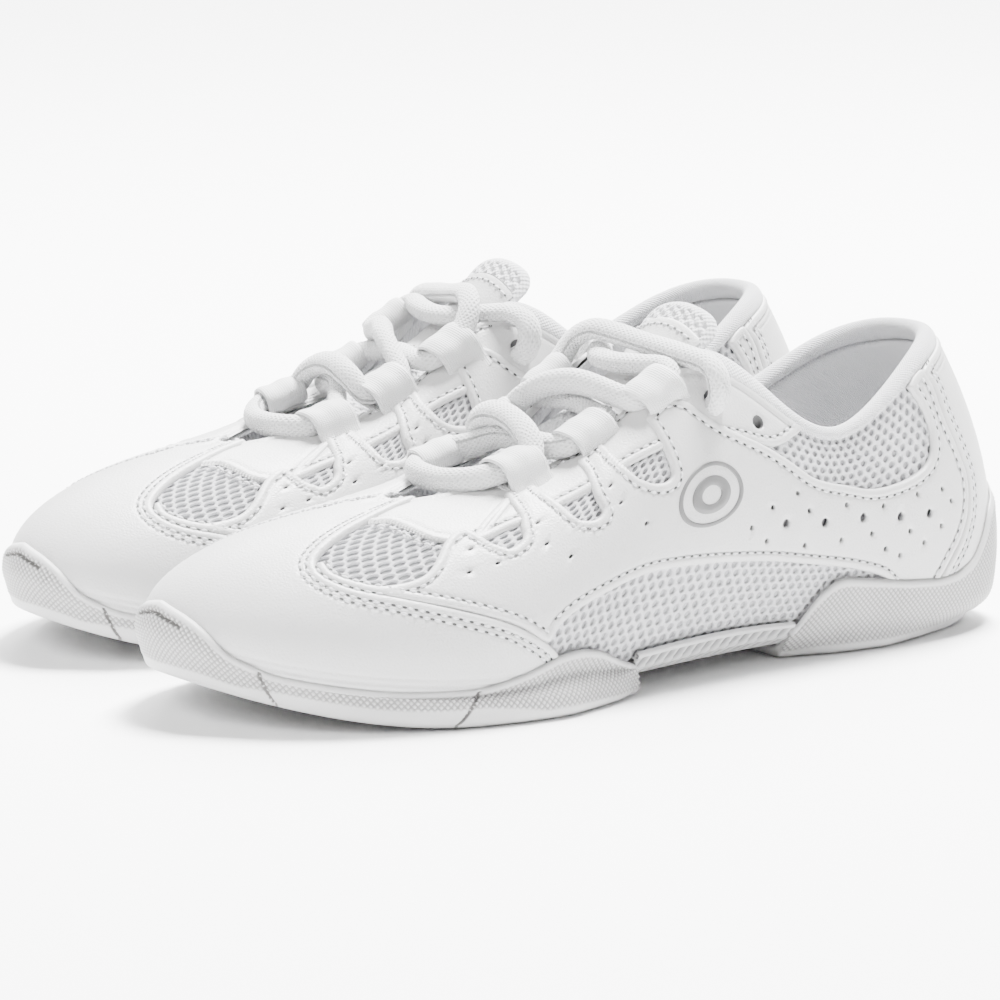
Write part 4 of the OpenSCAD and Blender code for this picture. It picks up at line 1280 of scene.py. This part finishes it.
def fore_tread(x, y):
    """Shallow crossing grooves under the ball of the foot."""
    a = np.abs(np.sin((x + y) * math.pi / 9))
    b = np.abs(np.sin((x - y) * math.pi / 9))
    return GROOVE_DEPTH * np.clip((0.22 - np.minimum(a, b)) / 0.12, 0, 1)


def heel_tread(x, y):
    """Wavy grooves across the heel."""
    a = np.abs(np.sin(y * math.pi / 6 + 0.6 * np.sin(x / 9)))
    return GROOVE_DEPTH * np.clip((0.3 - a) / 0.15, 0, 1)


cup("outsole_forefoot", np.linspace(FORE_END, AROUND - FORE_END, 1100), RIM_FORE, fore_tread,
    [(4.78, .08), (5.7, .12), (6.1, .42), (7.15, .42), (7.4, .2), (8, .1)],
    [(7.27, -4.0), (6.12, 7.0)], True)
cup("outsole_heel", np.linspace(-HEEL_END, HEEL_END, 760), RIM_HEEL, heel_tread,
    [(0, .1), (3.45, .08)])


def bridge_side(u0, u1):
    """One side of the shank, from under it over the lip to its inner floor."""
    us = np.linspace(u0, u1, 260)
    lines = np.stack([
        base(us, -3.0, 4.2), base(us, 0.6, 4.4), skin(us, 0.0, RIM_1 - 0.1),
        skin(us, 0.03, RIM_1), skin(us, 0.045, RIM_1 + 0.25), skin(us, 0.053, RIM_1 - 0.3),
        skin(us, 0.05, RIM_0), skin(us, -0.02, RIM_0), base(us, -2.5, 6.4)], 1)
    return np.stack([catmull(line, 5) for line in lines])


def bridge(lap=0.02, across=30):
    """Shank with slanted grooves below a smooth lip, lapping under both cups a little."""
    first = bridge_side(HEEL_END - lap, FORE_END + lap)
    second = bridge_side(AROUND - FORE_END - lap, AROUND - HEEL_END + lap)
    m, n = first.shape[:2]
    points = np.vstack([first.reshape(-1, 3), second.reshape(-1, 3)])
    faces = [f[::-1] for start in (0, m * n) for f in grid_faces(m, n, start=start)]
    mm = []
    for part in (first, second):
        up = np.stack([run_along(line) for line in part])
        mm.append(np.stack([np.repeat(run_along(part[:, 10]), n), up.ravel()], -1))
    mm = np.vstack(mm)
    # Slanted grooves on the visible wall, between the lower edge and the lip; their depth also
    # sets the painted shade in them
    groove = 1.1 * np.clip((0.5 - np.abs(((mm[:, 0] + 0.9 * mm[:, 1]) / 3.6) % 1 - 0.5)) / 0.5,
                           0, 1)
    column = np.tile(np.tile(np.arange(n), m), 2)
    shade = groove * ((column > 5) & (column < 17))
    out = points - points.mean(0)
    out[:, 1:] = 0
    out /= np.linalg.norm(out, axis=1, keepdims=True) + 1e-9
    points = points - out * shade[:, None]
    # Ribbed underside, then the inner floor
    w = np.linspace(0, 1, across)
    for row, way in ((0, 1), (n - 1, -1)):
        sheet = bridged(first[:, row], second[::-1][:, row], across)
        if row == 0:
            sheet[..., 2] += 0.5 * np.abs(np.sin(sheet[..., 0] * math.pi / 8)) * (
                np.minimum(w, 1 - w)[None] > 0.03)
        faces += [f[::way] for f in grid_faces(m, across, start=len(points))]
        points = np.vstack([points, sheet.reshape(-1, 3)])
        mm = np.vstack([mm, sheet.reshape(-1, 3)[:, :2]])
        shade = np.concatenate([shade, np.zeros(sheet.size // 3)])
    build("arch_bridge", (points, faces, mm), SHANK, "shank", mask=shade, merge=True)


bridge()


# ------------------------------------------------------------------ lace loops
# Each loop's middle, and how it is turned about X and about Y
LOOPS = {
    "lateral": [((17, -38.5, 60.3), 15, 12), ((19.5, -17, 67.2), 25, 22),
                ((24.5, 1.5, 77.6), 30, 36)],
    "medial": [((-15.5, -42, 58.4), 15, -12), ((-15.5, -23, 66), 25, -22),
               ((-18.5, -3, 76), 30, -32)],
}
LACE_R, RIBBON_T, LOOP_W = 3.0, 0.85, 13.0
LOOP_INNER_END, LOOP_GIRTH = 7.2, 40
# A ribbon loop's outer line, across the lace: up from the lug, over and back under
LOOP_LINE = [(10.2, -4.9), (8.4, -3.6), (6.6, -1.6), (4.9, 1.9), (2.2, 4.0), (-2.2, 4.0),
             (-5.2, 2.4), (-6.2, 0), (-5.1, -2.9), (-2.2, -4.1), (2.2, -4.2), (6.5, -5.0)]


def turn_matrix(rise, tilt):
    """Turns about Y by tilt degrees, then about X by rise degrees."""
    a, b = math.radians(rise), math.radians(tilt)
    rx = np.array([[1, 0, 0], [0, math.cos(a), -math.sin(a)], [0, math.sin(a), math.cos(a)]])
    ry = np.array([[math.cos(b), 0, math.sin(b)], [0, 1, 0], [-math.sin(b), 0, math.cos(b)]])
    return rx @ ry


def loop_section():
    """A ribbon loop's outer and inner lines across the lace."""
    outer = catmull(LOOP_LINE, 6, closed=True)
    run = np.roll(outer, -1, axis=0) - np.roll(outer, 1, axis=0)
    run /= np.linalg.norm(run, axis=1, keepdims=True)
    inner = outer + np.stack([-run[:, 1], run[:, 0]], -1) * RIBBON_T
    if abs(area(inner)) > abs(area(outer)):
        inner = 2 * outer - inner
    inner[:, 0] = np.minimum(inner[:, 0], LOOP_INNER_END)
    return outer, inner


def ribbon_loops(where, rows=17):
    """Flat satin ribbon folded round the lace, both layers sewn under the lug."""
    outer, inner = loop_section()
    n = len(outer)
    girth = np.linspace(0, LOOP_GIRTH, n)
    points, faces, mm = [], [], []
    for k, (centre, rise, tilt) in enumerate(LOOPS[where]):
        r = turn_matrix(rise, tilt)
        outward = 1 if tilt > 0 else -1
        a, b = 2 * k * rows * n, (2 * k + 1) * rows * n
        for line, outside in ((outer, True), (inner, False)):
            for w in np.linspace(-0.5, 0.5, rows) * LOOP_W:
                edge = (2 * abs(w) / LOOP_W) ** 8
                wave = 0.18 * math.sin(w * 0.9 + 2 * k)
                ring = line * (1 - 0.05 * edge * outside) + np.array([0, wave])
                skew = 0.8 * np.sin(ring[:, 0] / 5)
                local = np.stack([ring[:, 0] * outward, w + skew, ring[:, 1]], -1)
                points.append(local @ r.T + centre)
                mm.append(np.stack([girth, np.full(n, w)], -1))
            faces += grid_faces(rows, n, close_n=True, start=a if outside else b)
        for row in (0, rows - 1):
            faces += [[a + row * n + j, a + row * n + (j + 1) % n,
                       b + row * n + (j + 1) % n, b + row * n + j] for j in range(n)]
    build(f"loops_{where}", (np.vstack(points), faces, np.vstack(mm)), RIBBON, "ribbon")


ribbon_loops("lateral")
ribbon_loops("medial")

# ------------------------------------------------------------------ the lace
LACE_ROUTE = [
    (21, -98, 19.5), (28, -88, 18), (33, -74, 16.6), (35, -58, 15.8), (34, -40, 15.6),
    (31.5, -23, 16), (29.5, -8, 18), (29, 4, 24), (29, 13, 35), (28.5, 18, 48), (28, 19, 59),
    (26, 18.5, 65), (26.5, 18, 70.5), (31, 17.8, 73.8), (33.3, 17.2, 77.3), (32.4, 16.8, 82),
    (28, 16.5, 84.4), (21, 15.2, 85.4), (13, 13.5, 86.6), (4, 11.5, 87.8), (-4, 9.5, 89),
    (-11, 7.2, 89.5), (-16.4, 4.8, 86.4), (-18.2, 1.6, 80.8), (-18.5, -3, 76),
    (-17.6, -8.4, 72.9), (-12, -10.2, 72.4), (-3, -9.6, 73), (6, -9.2, 72.6), (13, -9.2, 71.2),
    (17.8, -9.8, 70.6), (19.3, -12.8, 69.3), (19.5, -17, 67.2), (18.4, -22.4, 64.8),
    (13.5, -25.6, 63.8), (6, -28, 64.6), (-2, -30.6, 64.6), (-9, -34.6, 61.9),
    (-14, -37.6, 60.3), (-15.5, -42, 58.4), (-14.8, -47.6, 56.8), (-10, -51.6, 56.2),
    (-2, -53.2, 56), (6, -52.6, 56.2), (12.8, -49.4, 57.2), (16.6, -44.4, 58.8),
    (17, -38.5, 60.3), (16.9, -33, 63), (12.8, -31.6, 67.6), (5, -31.4, 70.9),
    (-3, -31.4, 71.3), (-10, -31, 68.8), (-14.8, -28.6, 64.6), (-15.5, -23, 66),
    (-15, -17.4, 69.2), (-9, -16.2, 74), (-1, -14.4, 77.8), (6, -11, 79), (13, -8.4, 78),
    (19.5, -6.2, 76.4), (23.2, -3.4, 75.7), (24.5, 1.5, 77.6), (24.3, 6.6, 81.2),
    (20.5, 8.2, 83.2), (13, 5.8, 82.8), (4, 4.2, 82.4), (-4, 5, 82.6), (-11, 9.5, 83.4),
    (-19, 15.5, 84.6), (-25.5, 18, 82.8), (-28, 18, 78.5), (-26, 17.8, 74.2),
    (-20.8, 17.8, 70.8), (-20.5, 18.5, 64), (-22.5, 19, 58), (-23, 18, 47), (-24, 13, 35),
    (-24, 4, 24), (-25, -8, 18), (-28, -23, 16), (-32, -40, 15.6), (-33.5, -58, 15.8),
    (-32, -74, 16.6), (-28, -88, 18), (-24, -98, 19.5)]
LACE_SIDES, LACE_STEP, YARN = 28, 0.6, 2.4
TIP_AT = np.array([0, 0.3, 0.8, 1.5, 20.4, 21.4, 21.9, 22])
TIP_R = np.array([1.9, 2.1, 2.2, 2.2, 2.15, 2.0, 1.6, 0.9])


def tube(path, radius, sides):
    """Points and faces of a tube with frames carried along without twist."""
    t = np.gradient(path, axis=0)
    t /= np.linalg.norm(t, axis=1, keepdims=True)
    n = np.zeros_like(path)
    last = np.array([0.0, 0.0, 1.0])
    for k in range(len(path)):
        last = last - t[k] * (last @ t[k])
        last /= np.linalg.norm(last)
        n[k] = last
    b = np.cross(t, n)
    a = circle(sides)
    radius = np.broadcast_to(radius, len(path))
    ring = (path[:, None] + radius[:, None, None]
            * (np.cos(a)[None, :, None] * n[:, None] + np.sin(a)[None, :, None] * b[:, None]))
    faces = grid_faces(len(path), sides, close_n=True)
    faces = [f[::-1] for f in faces]
    faces += [list(range(sides)), [(len(path) - 1) * sides + k for k in range(sides)][::-1]]
    return ring.reshape(-1, 3), faces


def braided(path, run):
    """The lace's points, faces and places: braided, a little flattened and uneven."""
    points, faces = tube(path, 1.0, LACE_SIDES)
    spoke = points.reshape(-1, LACE_SIDES, 3) - path[:, None]
    turn = circle(LACE_SIDES)[None]
    along = run[:, None]
    yarn = np.abs(np.sin(math.pi * along / YARN + 4 * turn)) ** 0.6
    cross = np.abs(np.sin(math.pi * along / YARN - 4 * turn)) ** 0.6
    slack = 0.14 * np.sin(along / 9) + 0.1 * np.sin(along / 3.7 + 1)
    flat = 0.28 * np.cos(2 * turn + along / 30)
    radius = LACE_R + 0.1 + slack + flat + 0.2 * (np.maximum(yarn, cross) - 0.8)
    girth = turn[0] * LACE_R
    mm = np.stack([np.repeat(run, LACE_SIDES), np.tile(girth, len(path))], -1)
    return (path[:, None] + spoke * radius[..., None]).reshape(-1, 3), faces, mm


def lace_tips(path):
    """A plastic tip on each end of the lace."""
    tips = []
    for end, beside in ((0, 2), (-1, -3)):
        d = path[end] - path[beside]
        d /= np.linalg.norm(d)
        points, faces = tube(path[end] + d * TIP_AT[:, None], TIP_R, 20)
        tips.append((points, faces, points))
    return build("aglets", joined(tips)[:2], TIP, "tip")


def make_lace():
    """The lace with its tips, one cord a shoe."""
    path = even(catmull(LACE_ROUTE, 10), LACE_STEP)
    laces = build("lace", braided(path, np.arange(len(path)) * LACE_STEP), LACE, "lace")
    tips = lace_tips(path)
    for side in SIDES:
        route = PLACE[side](np.vstack([path[:-1:5], path[-1:]]))


make_lace()


# ------------------------------------------------------------------ sockliner, badge, eyelets
# The sockliner's edge, as (distance outside the base line, height above the board)
SOCK_EDGE = [(-1.0, 1.6), (-0.6, 2.6), (-0.6, 3.8), (-1.1, 4.7), (-2.2, 4.85)]


def make_sockliner(stations=240, across=40):
    """A thin foam insole with a soft rounded edge, level across the shoe."""
    us = np.linspace(0, AROUND, stations, endpoint=False)
    floor = foot(us, 0)[:, 2]
    half = stations // 2
    lines = np.stack([base(us, d, floor + z - 0.1) for d, z in SOCK_EDGE], 1)
    points = lines.reshape(-1, 3)
    faces = [f[::-1] for f in grid_faces(stations, len(SOCK_EDGE), close_m=True)]
    for row, way in ((-1, -1), (0, 1)):
        line = lines[:, row]
        sheet = bridged(line[:half + 1], np.vstack([line[:1], line[::-1][:half]]), across)
        faces += [f[::way] for f in grid_faces(half + 1, across, start=len(points))]
        points = np.vstack([points, sheet.reshape(-1, 3)])
    pads = build("sockliner", (points, faces, points[:, :2]), SOCK, "sockliner", merge=True)


make_sockliner()

BADGE_AT = (4.53, 0.57)
BADGE_STRETCH = 1.18   # it is wider along the shoe than it is tall
# Radius and height of its two rings, from the outer edge to the middle
BADGE_SECTION = [(9.5, 0.02), (9.45, 0.22), (9.3, 0.3), (8.5, 0.3), (8.3, 0.2), (8.25, -0.2),
                 (5.6, -0.2), (5.55, 0.2), (5.4, 0.3), (3.0, 0.3), (2.8, 0.2), (2.75, -0.2)]


def round_on_skin(centre, radius, top, a, stretch=1.0):
    """A circle on the surface, at a height."""
    su, sv = (np.linalg.norm(s) for s in slopes(*centre))
    return skin(centre[0] + stretch * radius * np.cos(a) / su,
                centre[1] + radius * np.sin(a) / sv, top)


def make_badge():
    """A plain raised ring with a smaller plain ring inside it."""
    a = circle(96)
    points = [round_on_skin(BADGE_AT, r, LEATHER_1 + d, a, BADGE_STRETCH)
              for r, d in BADGE_SECTION]
    mm = [np.stack([r * np.cos(a), r * np.sin(a)], -1) for r, _ in BADGE_SECTION]
    faces = [f[::-1] for f in grid_faces(len(BADGE_SECTION), len(a), close_n=True)]
    build("side_badge", (np.vstack(points), faces, np.vstack(mm)), BADGE, "badge",
          solid=False)


make_badge()

# Radius and height down an eyelet, whose dark inside is painted shade
WELL = [(1.95, STAY_1 - 0.1), (1.8, STAY_1 - 0.35), (1.8, 1.05), (0.05, 1.02)]


def make_eyelets(sides=24):
    """Painted shade in the punched eyelets: a short dark tube, closed at the bottom, in each."""
    a = circle(sides)
    points, faces = [], []
    for k, centre in enumerate(turn([e])[0] for turn, _ in TURNS for e in EYELETS):
        points += [round_on_skin(centre, r, d, a) for r, d in WELL]
        start = k * len(WELL) * sides
        faces += [f[::-1] for f in grid_faces(len(WELL), sides, close_n=True, start=start)]
    build("eyelet_wells", (np.vstack(points), faces), EYELET_SHADE, "leather", in_cad=False,
          solid=False)


make_eyelets()

# ------------------------------------------------------------------ CAD pieces that stay
for side in SIDES:
    for node, material in (("forefoot_cushion", FOAM), ("heel_wedge", FOAM),
                           ("lasting_board", BOARD)):
        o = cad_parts[f"{side}_{node}"]
        o.data.materials.clear()
        o.data.materials.append(material)


# ------------------------------------------------------------------ floor and light
def make_floor(half=7, z=-0.0004):
    """A white floor just under the soles, in metres."""
    paint = Graph("floor")
    paint.set(Base_Color=(0.96, 0.96, 0.96, 1), Roughness=0.9, Specular_IOR_Level=0.1)
    mesh = bpy.data.meshes.new("floor")
    corners = [(-half, -half, z), (half, -half, z), (half, half, z), (-half, half, z)]
    mesh.from_pydata(corners, [], [(0, 1, 2, 3)])
    mesh.materials.append(paint.material)
    floor = bpy.data.objects.new("floor", mesh)
    bpy.context.collection.objects.link(floor)


make_floor()


def light(name, energy, size, where, at=(0.03, -0.02, 0.04)):
    """A square soft light, of energy in watts and size in metres."""
    data = bpy.data.lights.new(name, "AREA")
    data.energy = energy
    data.size = size
    o = bpy.data.objects.new(name, data)
    o.location = where
    o.rotation_euler = (Vector(at) - Vector(where)).to_track_quat("-Z", "Y").to_euler()
    bpy.context.collection.objects.link(o)


light("key", 42, 0.9, (0.1, -1.5, 1.6))
light("top", 330, 0.7, (-0.3, 0.6, 1.9))
light("side", 5, 1.2, (1.9, 0.2, 0.9))
light("backdrop", 1000, 3.5, (-3.2, 2.6, 3.2), (-2.6, 1.8, 0))
world = bpy.data.worlds.new("world")
world.use_nodes = True
background = world.node_tree.nodes["Background"]
background.inputs["Color"].default_value = (1, 1, 1, 1)
background.inputs["Strength"].default_value = 0.5
bpy.context.scene.world = world
